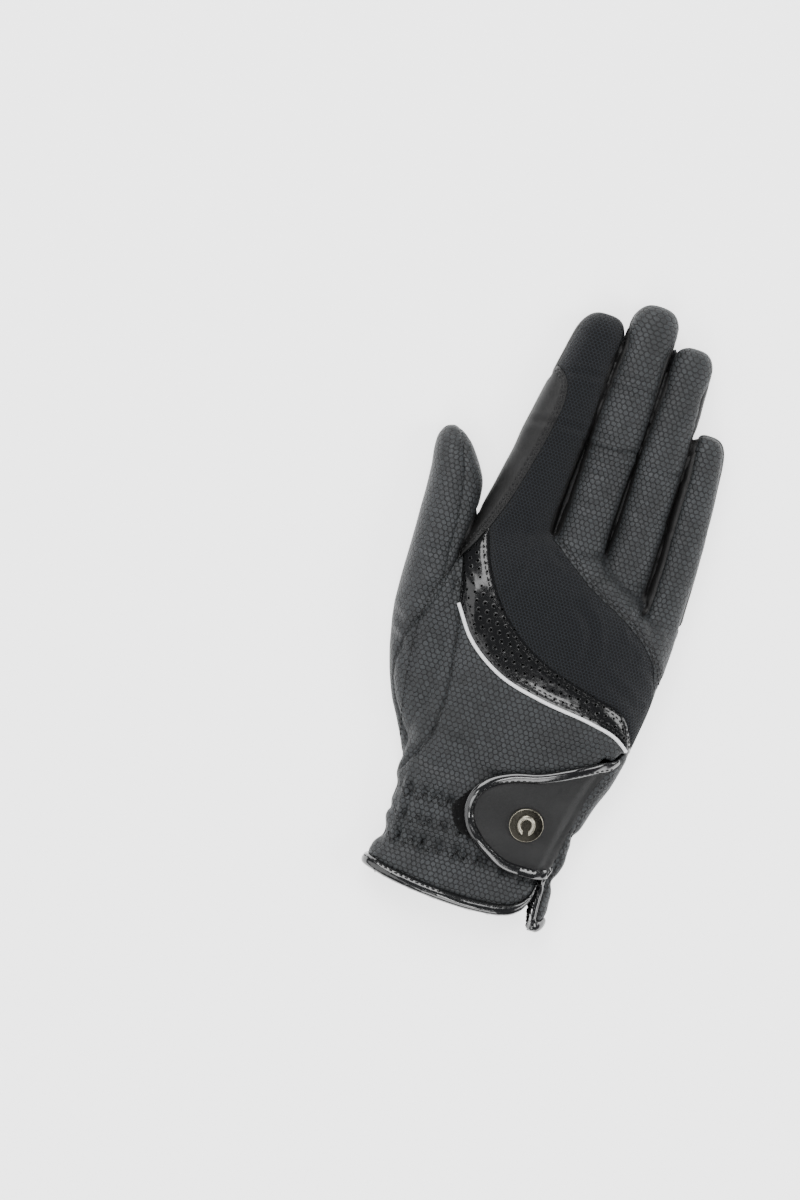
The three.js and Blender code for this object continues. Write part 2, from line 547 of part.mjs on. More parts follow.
// A sheet over the back of the wrist between two distances above the tab's underside
const tabOuts = [-0.03, 0.04, 0.11, 0.16, 0.25, 0.4, 0.56, 0.72, 0.88, 1.04];
const tabRows = 7;
function tabLayer(low, high) {
  const grid = [];
  for (let row = 0; row <= tabRows; row++) {
    const line = tabOuts.map((out) => {
      const spot = onTab([-0.16 + (1.26 * row) / tabRows, out]);
      const z = heightAt(spot.x, spot.y) + riseAt(atSlit(spot.y) - spot.x);
      return new THREE.Vector3(spot.x, spot.y, z);
    });
    grid.push([...line.map((p) => new THREE.Vector3(p.x, p.y, p.z + high)), ...line.reverse().map((p) => new THREE.Vector3(p.x, p.y, p.z + low))]);
  }
  return stacked(grid);
}

// The round patch under the tab's free end
function patchPlan(grow) {
  const middle = onTab(patchSpot);
  const ellipse = new THREE.EllipseCurve(middle.x, middle.y, patchLength / 2 + grow, patchWidth / 2 + grow, 0, 2 * Math.PI, false, THREE.MathUtils.degToRad(patchTurn));
  return upright(ellipse.getPoints(16).slice(0, -1));
}

const closed = (line) => upright(THREE.ShapeUtils.isClockWise(line) ? [...line].reverse() : line);
const tabPlan = (inset) => closed([...beside(rim, inset), ...[...rim.slice(0, 1), ...rim.slice(-1)].reverse().map((p) => p.clone().addScaledVector(outWay, -3))]);
const patchBelt = kept(layer(seamGap, seamGap + patchThickness), patchPlan(0), back());
const tabFloor = kept(joined([hand(-seamGap), kept(hand(-2 * seamGap - patchThickness), patchPlan(seamGap))]), leftOf(vent, tabDip));
const tabSide = leftOf(vent, seamGap);
const bindingWall = bindingRise;
panels.loop_patch = patchBelt;
panels.closure_tab = kept(tabLayer(0, tabThickness), tabPlan(bindingWall + seamGap), tabSide).subtract(tabFloor);
panels.tab_binding = kept(tabLayer(0, tabThickness + seamGap + bindingRise), tabPlan(0), leftOf(vent, seamGap + tabDip / 2))
  .subtract(tabPlan(tabBindingWidth))
  .subtract(kept(tabLayer(-3, tabThickness + seamGap), tabPlan(bindingWall)))
  .subtract(tabFloor);


// Badge: a round-cornered oval plate with a raised rim and a plain horseshoe, lying on the tab
const probe = (spot, reach) => {
  const post = kept(panels.closure_tab, upright([corner(spot.x - reach, spot.y - reach), corner(spot.x + reach, spot.y - reach), corner(spot.x + reach, spot.y + reach), corner(spot.x - reach, spot.y + reach)]));
  return post.boundingBox().max[2];
};
function badge() {
  const radius = badgeWidth / 2;
  const plate = badgeHeight - badgeRelief;
  const profile = [[0, 0], [radius - 0.3, 0], [radius, 0.3], [radius, badgeHeight - 0.3], [radius - 0.3, badgeHeight], [radius - badgeRim, badgeHeight], [radius - badgeRim, plate], [0, plate]];
  const disc = new THREE.LatheGeometry(profile.map(([r, z]) => corner(r, z)), 18).rotateX(Math.PI / 2);
  const shoe = new THREE.Shape();
  const [outer, inner, opening] = [radius * 0.56, radius * 0.32, THREE.MathUtils.degToRad(40)];
  shoe.absarc(0, 0, outer, -Math.PI / 2 + opening, 1.5 * Math.PI - opening, false);
  shoe.absarc(0, 0, inner, 1.5 * Math.PI - opening, -Math.PI / 2 + opening, true);
  const relief = new THREE.ExtrudeGeometry(shoe, { depth: badgeRelief * 0.7 + 0.2, bevelEnabled: false, curveSegments: 5 });
  const whole = joined([solidOf(disc), solidOf(relief.translate(0, 0, plate - 0.2))]);
  const spot = onTab(badgeSpot);
  const sides = [-1, 1].map((side) => probe(spot.clone().addScaledVector(outWay, side * radius * 0.7), 0.6));
  const ends = [-1, 1].map((side) => probe(spot.clone().addScaledVector(rootWay, side * radius * 0.7), 0.6));
  const tilt = new THREE.Euler(Math.atan2(ends[1] - ends[0], badgeWidth * 0.7), Math.atan2(sides[1] - sides[0], badgeWidth * 0.7), 0);
  const turn = new THREE.Matrix4().makeRotationFromEuler(tilt).premultiply(new THREE.Matrix4().makeRotationZ(-lean));
  let lift = Math.max(...sides, ...ends) - badgeHeight;
  let placed;
  do {
    lift += 0.05;
    placed = solidOf(geometryOf(whole).applyMatrix4(turn).translate(spot.x, spot.y, lift));
  } while (kept(placed.translate(0, 0, -seamGap), panels.closure_tab).volume() > 0);
  return placed;
}
panels.badge = badge();

// Finish of each piece
const slots = {
  hex_leather: ['#3a3c3e', 0.62, 0, ['lower_back_panel', 'thumb_gusset', 'knuckle_panel', 'palm_panel', 'thumb_panel', 'middle_front', 'ring_front', 'little_front']],
  smooth_leather: ['#26272a', 0.55, 0, ['index_side_strip', 'grip_panel', 'thumb_inner_strip', ...fourchettes.map((each) => each.name)]],
  mesh_fabric: ['#16181d', 0.85, 0, ['mesh_panel']],
  patent_leather: ['#111214', 0.22, 0, ['patent_band', 'cuff_binding', 'tab_binding']],
  white_satin: ['#f2f2ef', 0.5, 0, ['white_piping']],
  tab_leather: ['#1b1c1f', 0.42, 0, ['closure_tab']],
  loop_fabric: ['#0f1013', 0.95, 0, ['loop_patch']],
  badge_metal: ['#a79f90', 0.32, 0.9, ['badge']],
};

// A panel without the crumbs that its cuts leave behind
const crumb = 1; // cubic millimetres
function whole(name) {
  const bodies = solidOf(geometryOf(panels[name])).decompose().sort((a, b) => b.volume() - a.volume());
  const lost = bodies.slice(1).find((body) => body.volume() > crumb);
  if (lost) throw new Error(`${name} falls apart by ${lost.volume().toFixed(2)}`);
  return bodies[0];
}

const glove = new THREE.Group();
glove.name = 'horse_riding_glove';
for (const [slot, [color, roughness, metalness, names]] of Object.entries(slots)) {
  const material = new THREE.MeshStandardMaterial({ name: slot, color, roughness, metalness });
  for (const name of names) {
    const geometry = geometryOf(whole(name)).toNonIndexed();
    geometry.computeVertexNormals();
    const mesh = new THREE.Mesh(geometry, material);
    mesh.name = name;
    glove.add(mesh);
  }
}

// Origin under the middle of the whole glove, on the floor
const bounds = new THREE.Box3().setFromObject(glove);
const middle = bounds.getCenter(new THREE.Vector3()).setZ(bounds.min.z);
for (const mesh of glove.children) mesh.geometry.translate(-middle.x, -middle.y, -middle.z);

export default glove;
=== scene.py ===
"""A right-hand riding glove lying palm down: leather hide, trims, stitching and stage."""

import math

import bpy
import numpy as np
from mathutils import Matrix, Vector
from mathutils.bvhtree import BVHTree
from mathutils.kdtree import KDTree


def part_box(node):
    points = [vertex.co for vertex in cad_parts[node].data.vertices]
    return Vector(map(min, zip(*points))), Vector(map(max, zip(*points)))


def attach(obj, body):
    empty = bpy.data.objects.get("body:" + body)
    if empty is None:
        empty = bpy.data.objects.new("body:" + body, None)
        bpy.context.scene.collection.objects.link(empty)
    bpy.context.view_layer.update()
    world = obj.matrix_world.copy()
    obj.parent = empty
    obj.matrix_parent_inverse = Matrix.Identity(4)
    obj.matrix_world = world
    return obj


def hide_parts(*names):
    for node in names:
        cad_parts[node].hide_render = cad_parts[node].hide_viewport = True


bl_info = {
    "name": "Riding glove",
    "version": (1, 0, 0),
    "blender": (4, 5, 0),
    "location": "View3D > Sidebar > Glove",
    "description": "Builds a horse riding glove from its sewn panels, trims and stitches",
    "category": "Object",
}

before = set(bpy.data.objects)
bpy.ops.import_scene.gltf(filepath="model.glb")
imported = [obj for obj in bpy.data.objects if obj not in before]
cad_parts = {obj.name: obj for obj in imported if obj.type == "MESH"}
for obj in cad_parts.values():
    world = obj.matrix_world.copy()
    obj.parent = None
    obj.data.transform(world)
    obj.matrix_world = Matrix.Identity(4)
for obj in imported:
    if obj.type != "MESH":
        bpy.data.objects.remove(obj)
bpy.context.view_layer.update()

# The pattern is drawn in millimetres from the cuff hem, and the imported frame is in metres.
MM = 0.001
PALM_LENGTH = 142.0
PALM_WIDTH = 85.0
PALM_HEIGHT = 26.0
FINGER_LENGTH = 98.0
FINGER_HEIGHT = 17.0
THUMB_LENGTH = 51.0
THUMB_HEIGHT = 20.0
WRIST_HEIGHT = 18.0

# Where thumb and fingers leave the hand, and how the hand slants and fills up between them.
THUMB_CROTCH = 86.0
FINGER_ROOT_DEPTH = 12.0
WEB_SLANT = 18.0
PALM_WEB_SHARE = 0.3
WEB_FLOOR = 5.4
WEB_OVERLAP = 3.0

# The rounding of cross sections and fingertips, and how far the sections reach below the table.
HAND_SQUARENESS = 2.5
FINGER_SQUARENESS = 2.4
THUMB_SQUARENESS = 2.3
WIDEST = 0.45
DOME_SHARE = 1.15
DOME_POWER = 0.6
SUNK = 0.6

# The form that the skin is taken from, and the cutting of the skin.
FORM_INSET = 0.55
SMOOTHING_LOSS = 0.1
VOXEL = 0.66
ON_THE_LINE = 0.02
FAR = 300.0
CRUMB_ROUNDS = 60
PATTERN_ROUNDS = 450

# The leather's edges and openings.
SEAM_DEPTH = 0.68
SEAM_WIDTH = 0.62
CREASE_GAIN = 1.3
SIDE_BLUR = 1.5
WRIST_END = 52
THUMB_SIDE = -40
THUMB_STRIP_BASE = 6.0
SLIT_WIDTH = 1.2
MOUTH_LOW = 17
MOUTH_HIGH = 70
BINDING_WIDTH = 4.6
TIP_BINDING_WIDTH = 2.4
TIP_BINDING_END = 24
HEM_OVER_CUFF = 0.8

# The tab and the trims.
TAB_DIP = 4.2
TAB_REACH = 41.5
TAB_ROOT = 51.5
TAB_LEAN = 13.0
TAB_THICKNESS = 1.4
TAB_INSIDE_BINDING = 0.85
PIPING_RADIUS = 0.7
PIPING_RISE = 0.38
BADGE_RADIUS = 6.5
BADGE_DEPTH = 1.8
THREAD_RADIUS = 0.29
STITCH_PITCH = 2.2
STITCH_LENGTH = 1.55
STEEPEST_STITCH = 0.22
LONGEST_JUMP = 3

# Spacing of a honeycomb's rows for cells one wide.
HEXAGON_SLANT = 0.8660254

# Fixed colours and the stage.
WHITE = (1.0, 1.0, 1.0)
# Painted shade inside the knit's open cells.
KNIT_HOLE_SHADE = (0.0003, 0.0003, 0.0005, 1)
# Painted shade inside the pin holes of the patent leather.
PIN_HOLE_SHADE = (0.0006, 0.0006, 0.0006, 1)
HOLLOW_SHADE = 0.07
SKY_COLOUR = (0.9, 0.93, 1.0, 1)
TABLE_SIZE = 40
CAMERA_SPOT = (-61.9, 103.2, 0.0)
CAMERA_HEIGHT = 1.0897
CAMERA_TURN = 18


def across(percent):
    return PALM_WIDTH * percent / 100


def along(percent):
    if percent <= 100:
        return PALM_LENGTH * percent / 100
    return PALM_LENGTH + FINGER_LENGTH * (percent - 100) / 100


def on_thumb(share):
    return along(THUMB_CROTCH) + THUMB_LENGTH * share


def find_shift():
    """Where the pattern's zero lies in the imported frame, in millimetres."""
    low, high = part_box("cuff_binding")
    middle_of_cuff = across((32.5 - 53) / 2)
    return np.array([
        (low[0] + high[0]) / 2 / MM - middle_of_cuff,
        low[1] / MM + HEM_OVER_CUFF,
        0.0,
    ])


SHIFT = find_shift()

# Cross sections of the hand: place along it, thumb side and little side in percent,
# top and base as shares of the height at the end of the row.
HAND_SECTIONS = np.array([
    (-6, -53.4, 32.6, 1.16, 0.09, WRIST_HEIGHT),
    (0, -53, 32.5, 1.14, 0.09, WRIST_HEIGHT),
    (4, -52.5, 32.6, 1.09, 0.09, WRIST_HEIGHT),
    (8, -51, 32, 1.04, 0.09, WRIST_HEIGHT),
    (14, -48, 31, 0.97, 0.1, WRIST_HEIGHT),
    (18.5, -50, 32.4, 1.06, 0.07, WRIST_HEIGHT),
    (23, -48.2, 32.8, 1.0, 0.1, WRIST_HEIGHT),
    (28, -50, 35, 1.08, 0.07, WRIST_HEIGHT),
    (34, -50, 37.6, 0.77, 0, PALM_HEIGHT),
    (43, -51.5, 42.5, 0.85, 0, PALM_HEIGHT),
    (62, -54, 47.6, 0.97, 0, PALM_HEIGHT),
    (79, -54.6, 49.3, 1, 0, PALM_HEIGHT),
    (88, -54, 49.8, 0.96, 0, PALM_HEIGHT),
    (95, -52.3, 50, 0.86, 0.01, PALM_HEIGHT),
    (99.5, -50.5, 49.4, 0.71, 0.07, PALM_HEIGHT),
    (102, -48, 47.5, 0.52, 0.18, PALM_HEIGHT),
])

# Fingers: place of root, web, tip and end, half widths at root and tip, bow, share of the full height.
FINGER_COLUMNS = ("root", "web", "tip", "end", "wide", "thin", "bow", "height")
FINGERS = {name: dict(zip(FINGER_COLUMNS, values)) for name, values in {
    "index": (-36.5, 100.5, -22.8, 191.2, 18.3, 10.2, 0.0, 0.97),
    "middle": (-4, 100, -1.6, 200, 11.6, 11.35, 0.0, 1.0),
    "ring": (20, 99, 19.5, 188.8, 11.3, 9.9, 0.0, 0.95),
    "little": (40.7, 90, 37.1, 158.4, 9.5, 8.3, 1.7, 0.84),
}.items()}

# Fillings between neighbouring fingers: their heights on the left and the right, and their reach.
WEBS = ((7.4, 7.4, 86), (7.4, 7.4, 94), (6.4, 8.6, 76))

# A finger along its length: share of it, swelling, top and base as shares of its height.
FINGER_PROFILE = np.array([
    (0, 0.8, 0.88, 0.1),
    (0.13, 1, 1.04, 0.01),
    (0.3, 0.99, 1.05, 0.06),
    (0.45, 0.99, 1.01, 0.13),
    (0.55, 1.02, 1.03, 0.13),
    (0.74, 1.02, 0.96, 0.07),
    (0.9, 0.99, 0.88, 0.01),
])

# Thumb: place along the glove, outer side, inner side, top and base as shares of its height.
THUMB_SECTIONS = np.array([
    (along(29), -46, -22, 0.5, 0.12),
    (along(39), -54, -23, 0.68, 0),
    (along(48), -62.5, -28, 0.83, 0),
    (along(58), -69, -34, 0.94, 0),
    (along(70), -74, -42, 1, 0),
    (along(84), -75.6, -49, 1, 0.03),
    (on_thumb(0.07), -75.8, -53.3, 0.97, 0.05),
    (on_thumb(0.28), -76.2, -52.1, 0.94, 0.06),
    (on_thumb(0.5), -76.9, -52.6, 0.9, 0.04),
    (on_thumb(0.68), -77.8, -54.4, 0.84, 0.01),
    (on_thumb(0.82), -78.9, -59.5, 0.75, 0),
    (on_thumb(0.93), -78.5, -65, 0.62, 0.06),
    (on_thumb(0.985), -76.2, -69.8, 0.48, 0.18),
    (on_thumb(1.0), -74.6, -71.6, 0.36, 0.25),
])

# Height of the side seam as a share of the hand's height, from place to place along the glove.
SIDE_SEAM = [
    (-10, 0.36), (14, 0.34), (43, 0.42), (68, 0.45), (82, 0.38), (100, 0.35),
    (125, 0.35), (160, 0.32), (192, 0.28), (215, 0.26),
]
SIDE_Y = np.array([along(y) for y, share in SIDE_SEAM])
SIDE_Z = np.array([PALM_HEIGHT * share for y, share in SIDE_SEAM])

# Seams seen from above, in percent across and along the hand, with the number of points they get.
SEAMS = {
    "piping": (44, [
        (-70, 94), (-56, 83), (-48, 77), (-37, 68.3), (-20, 61.8), (1, 58.8), (25.6, 57), (37, 55.4),
        (45, 52.2), (54, 46),
    ]),
    "band": (44, [
        (-60, 118), (-45.4, 98.5), (-40.5, 90.4), (-30.4, 80.5), (-15.8, 72.5), (0.4, 67.6), (20, 64.4),
        (38.7, 60.9), (44.5, 56), (48, 50),
    ]),
    "knuckle_edge": (34, [
        (-16, 101.5), (-7.2, 97), (7.9, 90.7), (25, 85.8), (39.3, 79.7), (47.5, 72.7), (51, 66), (53, 58),
    ]),
    "gusset": (34, [
        (-56, 96), (-52, 88), (-49, 80), (-44.4, 66.5), (-41, 50), (-42.1, 40.6), (-46.2, 34.5),
        (-53, 25), (-62, 12),
    ]),
    "leaf": (60, [
        (-54.2, 87), (-57.4, 81), (-60.4, 74), (-61, 67.3), (-59.9, 58.7), (-56.5, 46.5), (-51.5, 35),
        (-49, 27),
    ]),
    "strip_back": (44, [
        (-58, 80), (-54, 88), (-45.4, 98.5), (-40.8, 108.7), (-35.6, 126.6), (-32, 142), (-30.6, 155),
        (-32, 161), (-37.5, 165.7), (-46, 170),
    ]),
    "strip_front": (30, [
        (-62, 80), (-45, 85.4), (-42.7, 99.8), (-40, 125), (-35.3, 151.6), (-41, 164), (-50, 168),
    ]),
    "strip_foot": (16, [
        (-70, 84), (-54, 88), (-45.4, 98.5), (-38, 104),
    ]),
    "vent": (30, [
        (28, -8), (26.6, 2.5), (26, 7), (27, 14), (30.5, 29.3), (34.2, 39.6), (39.5, 47.3), (47, 54),
    ]),
    "grip": (24, [
        (-60, 88), (-45, 90), (-23, 92.3), (2, 93), (30, 91.5), (62, 87),
    ]),
    "cross": (20, [
        (-22, 131.5), (-14, 130.6), (10, 129.6), (35, 126), (62, 116),
    ]),
    "mound": (44, [
        (-56, 88), (-45, 85.4), (-34, 83.8), (-26.6, 76.8), (-19.2, 66.9), (-17.6, 57), (-23.5, 48.6),
        (-35.3, 39.4), (-47, 33.8), (-62, 30),
    ]),
    "thumb_strip": (24, [
        (-57.6, 83), (-58.6, 90), (-59.2, 96), (-60.4, 103.6), (-62, 111.7), (-64.5, 119.7), (-69.5, 130),
        (-74, 136),
    ]),
}
GUSSET_FOLD = [
    (-54, 88), (-56.5, 80), (-60.4, 72.5), (-65.2, 66.3), (-66.5, 57), (-62.5, 46.5), (-58, 38),
    (-56, 31), (-66, 22),
]
THUMB_GAP = [
    (-54, 88), (-53.9, 92), (-53.2, 97), (-52.2, 104), (-50.5, 112), (-48, 120), (-46, 150),
]
BETWEEN = {
    "index_middle": ((-16.8, 70), (-12.8, 200)),
    "middle_ring": ((8.1, 70), (10.2, 200)),
    "ring_little": ((32.4, 70), (31.4, 200)),
}

# Outlines in millimetres from the cuff hem.
HEM_BACK = [
    (-60, 5), (-43.6, 3.4), (-35, 1.8), (-24.4, 0.6), (-4.4, -0.1), (3.8, 0.4), (10.7, 1.4), (15.5, 3.2),
    (18.6, 6.2), (20.6, 11), (21.4, 15),
]
PALM_HEM = np.array([
    (-60, 5.2), (-43.6, 3.9), (-24.4, 1.4), (-4.4, 0.7), (3.8, 1.2), (10.7, 2.2), (15.5, 4), (19, 6.5),
    (20.8, 7), (21.9, 4), (22.7, 0.2), (23.8, -0.9), (26.3, -1.1), (27.4, -0.2), (28.4, 2.3), (32, 3.5),
])

# The tab's outline in shares of its root and reach, and its rise by distance from the slit.
TAB_OUTLINE = [
    (1.03, -0.02), (1.0, 0.015), (0.94, 0.11), (0.79, 0.32), (0.65, 0.53), (0.54, 0.77), (0.45, 0.9),
    (0.35, 0.98), (0.25, 1), (0.14, 0.97), (0.04, 0.88), (-0.03, 0.75), (-0.08, 0.59), (-0.105, 0.4),
    (-0.08, 0.21), (-0.02, 0), (0.0, -0.03),
]
TAB_RISE = np.array([
    (-3, -2.2), (0, -1), (1.4, -0.9), (TAB_DIP, 0.4), (6, 0.7), (10.5, 1.65), (60, 1.65),
])
BINDING_PROFILE = [
    (3.9, 1.35), (3.75, 1.75), (3.2, 2.05), (2.3, 2.3), (1.4, 2.3), (0.6, 2.05), (0.12, 1.55), (0, 1.0),
    (0.12, 0.45), (0.6, 0.05), (1.4, -0.1), (3.0, -0.15), (3.9, -0.05), (3.9, 0.0), (1.2, 0.0), (0.7, 0.7),
    (1.2, 1.3),
]
TAB_FOOT = (27, 14)
BADGE_SPOT = (0.27, 0.41)
PATCH_SPOT = (0.22, 0.69)

# The panels: how far each lies over its neighbours, in millimetres, and its finish.
PANELS = {
    "lower_back_panel": (0.0, "hex_leather"),
    "patent_band": (0.22, "patent_leather"),
    "thumb_gusset": (0.1, "hex_leather"),
    "mesh_panel": (-0.25, "mesh_fabric"),
    "knuckle_panel": (0.12, "hex_leather"),
    "index_side_strip": (0.2, "smooth_leather"),
    "palm_panel": (0.0, "hex_leather"),
    "grip_panel": (0.2, "smooth_leather"),
    "thumb_panel": (0.12, "hex_leather"),
    "thumb_inner_strip": (-0.1, "hex_leather"),
    "middle_front": (0.0, "hex_leather"),
    "ring_front": (0.0, "hex_leather"),
    "little_front": (0.0, "hex_leather"),
    "index_middle_fourchette": (-0.25, "smooth_leather"),
    "middle_ring_fourchette": (-0.25, "smooth_leather"),
    "ring_little_fourchette": (-0.25, "smooth_leather"),
    "cuff_binding": (0.45, "patent_leather"),
}

# Creases on each side of the hand: depth, half width and course in millimetres from the cuff hem.
CREASES = {
    "back": [
        (0.6, 1.8, [(2, 122), (9, 116), (12, 108), (11, 100)]),
        (0.45, 2.4, [(-30, 62), (-18, 54), (-4, 50), (10, 48)]),
        (0.4, 2.0, [(-44, 74), (-37, 64), (-33, 54)]),
        (0.55, 1.8, [(-58, 66), (-52, 58), (-48, 48), (-48, 40)]),
        (0.5, 1.5, [(-63, 92), (-57, 88), (-53, 80)]),
        (0.4, 1.4, [(-66, 102), (-61, 98), (-57, 95)]),
        (0.45, 1.6, [(34, 108), (40, 104), (44, 96)]),
        (0.35, 1.6, [(18, 100), (28, 96), (36, 92)]),
        (0.4, 1.8, [(-28, 150), (-24, 140), (-22, 128), (-24, 116)]),
        (0.65, 1.3, [(-13.5, 182), (-8, 180.8), (-2.5, 181), (7, 183.5)]),
        (0.4, 1.2, [(-12.5, 172), (-5, 171), (3, 172.5)]),
        (0.35, 1.6, [(-11, 160), (-5, 158.5), (1, 160)]),
        (0.35, 1.5, [(11, 163), (17, 161), (24, 163)]),
        (0.4, 1.0, [(-12.5, 187), (-6, 185.5), (2, 186)]),
        (0.35, 0.9, [(-12.5, 177.5), (-7, 176.6), (-1, 177.2)]),
        (0.5, 1.2, [(-12, 206), (-6, 205), (6.5, 206.8)]),
        (0.3, 1.0, [(-11, 210.5), (-4, 209.6), (3, 210.2)]),
        (0.4, 1.3, [(-36, 183), (-30, 184.5), (-13.5, 186)]),
        (0.35, 1.2, [(-30, 205), (-22, 206.5), (-12.8, 207.5)]),
        (0.4, 1.2, [(8.5, 180), (16, 178.6), (26, 180.5)]),
        (0.3, 1.1, [(9.5, 203), (17, 201.8), (25.5, 203)]),
        (0.35, 1.1, [(27.5, 160), (35, 158.8), (43.5, 160.5)]),
        (0.3, 1.0, [(28.5, 178), (35, 177), (41, 178)]),
        (0.75, 1.7, [(7.5, 143), (8.5, 137.5), (5.2, 131), (1, 127)]),
        (0.5, 1.6, [(8, 141), (12, 136.5), (18, 134), (22.5, 134.5)]),
        (0.4, 1.5, [(-13.6, 141.5), (-10.6, 137.4), (-5, 135)]),
        (0.6, 1.7, [(27.4, 129), (25.4, 124), (26.6, 118)]),
        (0.35, 1.8, [(27.4, 128), (32, 122), (35, 113)]),
        (0.5, 2.2, [(-46, 121), (-41, 114), (-38, 104), (-37, 94)]),
        (0.5, 2.0, [(-48, 118), (-52, 108), (-53, 96), (-51, 84), (-48, 72)]),
        (0.45, 1.8, [(-50, 112), (-56, 107), (-61, 105)]),
        (0.35, 1.5, [(-50, 128), (-54, 125), (-61, 125.5)]),
        (0.45, 2.0, [(-44, 56), (-36, 50), (-27, 47), (-17, 47)]),
        (0.35, 2.2, [(-42, 66), (-30, 60), (-16, 58), (-4, 59)]),
        (0.4, 2.4, [(34, 74), (24, 71), (12, 67), (0, 64)]),
        (0.3, 2.2, [(-36, 84), (-28, 76), (-16, 70)]),
    ],
    "palm": [
        (0.6, 1.6, [(-30, 118), (-14, 124), (4, 125), (26, 121), (42, 116)]),
        (0.55, 1.6, [(-16, 104), (-4, 108), (14, 108), (38, 101)]),
        (0.45, 1.5, [(-2, 96), (8, 84), (12, 68), (8, 54)]),
        (0.5, 1.3, [(-13, 178), (-2, 177), (8, 178)]),
        (0.4, 1.2, [(-12, 204), (-2, 203), (7, 204)]),
        (0.5, 1.3, [(9, 176), (17, 175), (26, 176)]),
        (0.5, 1.3, [(-36, 180), (-25, 182), (-14, 182)]),
        (0.4, 1.2, [(28, 160), (35, 159), (42, 160)]),
    ],
}

# Seams that run across the hand.
ACROSS_SEAMS = ("piping", "band", "strip_foot", "grip", "cross", "mound")

# Rows of stitches: seam, piece, distances from the seam, side of the hand, lowest and highest place.
STITCHED = [
    ("piping", "band_stitches", (-1.9, -3.1), 1, 74, 118),
    ("band", "band_stitches", (0.9, 2.1), 1, 76, 139),
    ("knuckle_edge", "knuckle_stitches", (-0.9, -2.1), 1, 60, 150),
    ("strip_back", "index_stitches", (0.9, 2.1), 1, 128, 226),
    ("gusset", "gusset_stitches", (-0.9,), 1, 48, 118),
    ("leaf", "gusset_stitches", (0.9,), 1, 48, 122),
    ("vent", "vent_stitches", (-2.6,), 1, 2, 66),
    ("hem", "cuff_stitches", (3.3,), 1, -1, 12),
    ("mound", "palm_stitches", (-0.9, -2.3), -1, 45, 124),
    ("grip", "palm_stitches", (-0.9, -2.3), -1, 100, 150),
    ("cross", "palm_stitches", (0.9, 2.3), -1, 150, 190),
    ("strip_front", "palm_stitches", (0.9, 2.3), -1, 124, 204),
]

# Rows of wrist elastic, in millimetres from the hem.
ELASTIC_ROWS = (18.5, 27.5, 36.5)
ZIG = 2.3
ZIG_HEIGHT = 2.1

# A stitch along its length: share of it, girth and rise above the leather.
STITCH_PROFILE = ((0, 0.35, -0.2), (0.12, 0.9, 0.02), (0.5, 1.0, 0.14), (0.88, 0.9, 0.02), (1, 0.35, -0.2))

# Lights: name, place and size.
LIGHTS = (
    ("key", (-0.9, 1.9, 2.4), 2.3),
    ("fill", (-2.1, -0.9, 1.9), 3.0),
    ("side", (2.1, 0.3, 1.7), 1.4),
    ("near", (0.3, -2.2, 2.0), 1.5),
    ("window", (0.22, -0.9, 2.6), 0.55),
)

store = {"made": set(), "finishes": {}}


# Curves and lines

def hermite(knots, values, where):
    """A smooth curve through the listed values."""
    knots = np.asarray(knots, float)
    values = np.asarray(values, float)
    where = np.clip(where, knots[0], knots[-1])
    slope = np.gradient(values, knots)
    cell = np.clip(np.searchsorted(knots, where, side="right") - 1, 0, len(knots) - 2)
    run = knots[cell + 1] - knots[cell]
    t = (where - knots[cell]) / run
    first = values[cell] * (1 + 2 * t) * (1 - t) ** 2 + slope[cell] * run * t * (1 - t) ** 2
    second = values[cell + 1] * t * t * (3 - 2 * t) + slope[cell + 1] * run * t * t * (t - 1)
    return first + second


def run_along(path):
    """Distance travelled at each point of a path."""
    return np.concatenate([[0], np.cumsum(np.linalg.norm(np.diff(path, axis=0), axis=1))])


def spline(points, count):
    """An evenly stepped smooth line through plan points in millimetres."""
    points = np.asarray(points, float)
    lengths = run_along(points)
    dense = np.linspace(0, lengths[-1], count * 8)
    fine = np.stack([hermite(lengths, column, dense) for column in points.T], 1)
    run = run_along(fine)
    even = np.linspace(0, run[-1], count)
    return np.stack([np.interp(even, run, column) for column in fine.T], 1)


def seam(places, count):
    """A smooth line through places in percent across and along the hand."""
    return spline([(across(x), along(y)) for x, y in places], count)


def unit(vectors, least=1e-12):
    """Vectors brought to length one."""
    return vectors / np.maximum(np.linalg.norm(vectors, axis=-1, keepdims=True), least)


def sideways(line):
    """The way to the left at each point of a plan line."""
    steps = unit(np.gradient(line, axis=0))
    return np.stack([-steps[:, 1], steps[:, 0]], 1)


def signed_distance(points, line):
    """Distance of plan points to a line, positive on its left."""
    best = np.full(len(points), 1e9)
    sign = np.ones(len(points))
    ways = np.diff(line, axis=0)
    normals = np.stack([-ways[:, 1], ways[:, 0]], 1) / np.linalg.norm(ways, axis=1)[:, None]
    for i, way in enumerate(ways):
        offset = points - line[i]
        t = np.clip(offset @ way / (way @ way), 0, 1)
        gap = offset - t[:, None] * way
        distance = np.hypot(gap[:, 0], gap[:, 1])
        normal = np.repeat(normals[i][None], len(points), 0)
        if i:
            normal[t == 0] = normals[i] + normals[i - 1]
        if i < len(ways) - 1:
            normal[t == 1] = normals[i] + normals[i + 1]
        closer = distance < best
        best[closer] = distance[closer]
        sign[closer] = np.where((gap[closer] * normal[closer]).sum(1) >= 0, 1, -1)
    return best * sign


def left_of(points, line):
    """Signed distance, positive left of a line that runs up the glove."""
    line = line if line[0][1] < line[-1][1] else line[::-1]
    return signed_distance(points, np.concatenate([[(line[0][0], -FAR)], line, [(line[-1][0], FAR)]]))


def above(points, line):
    """Signed distance, positive on the fingers' side of a line that runs across the glove."""
    return signed_distance(points, np.concatenate([[(-FAR, line[0][1])], line, [(FAR, line[-1][1])]]))


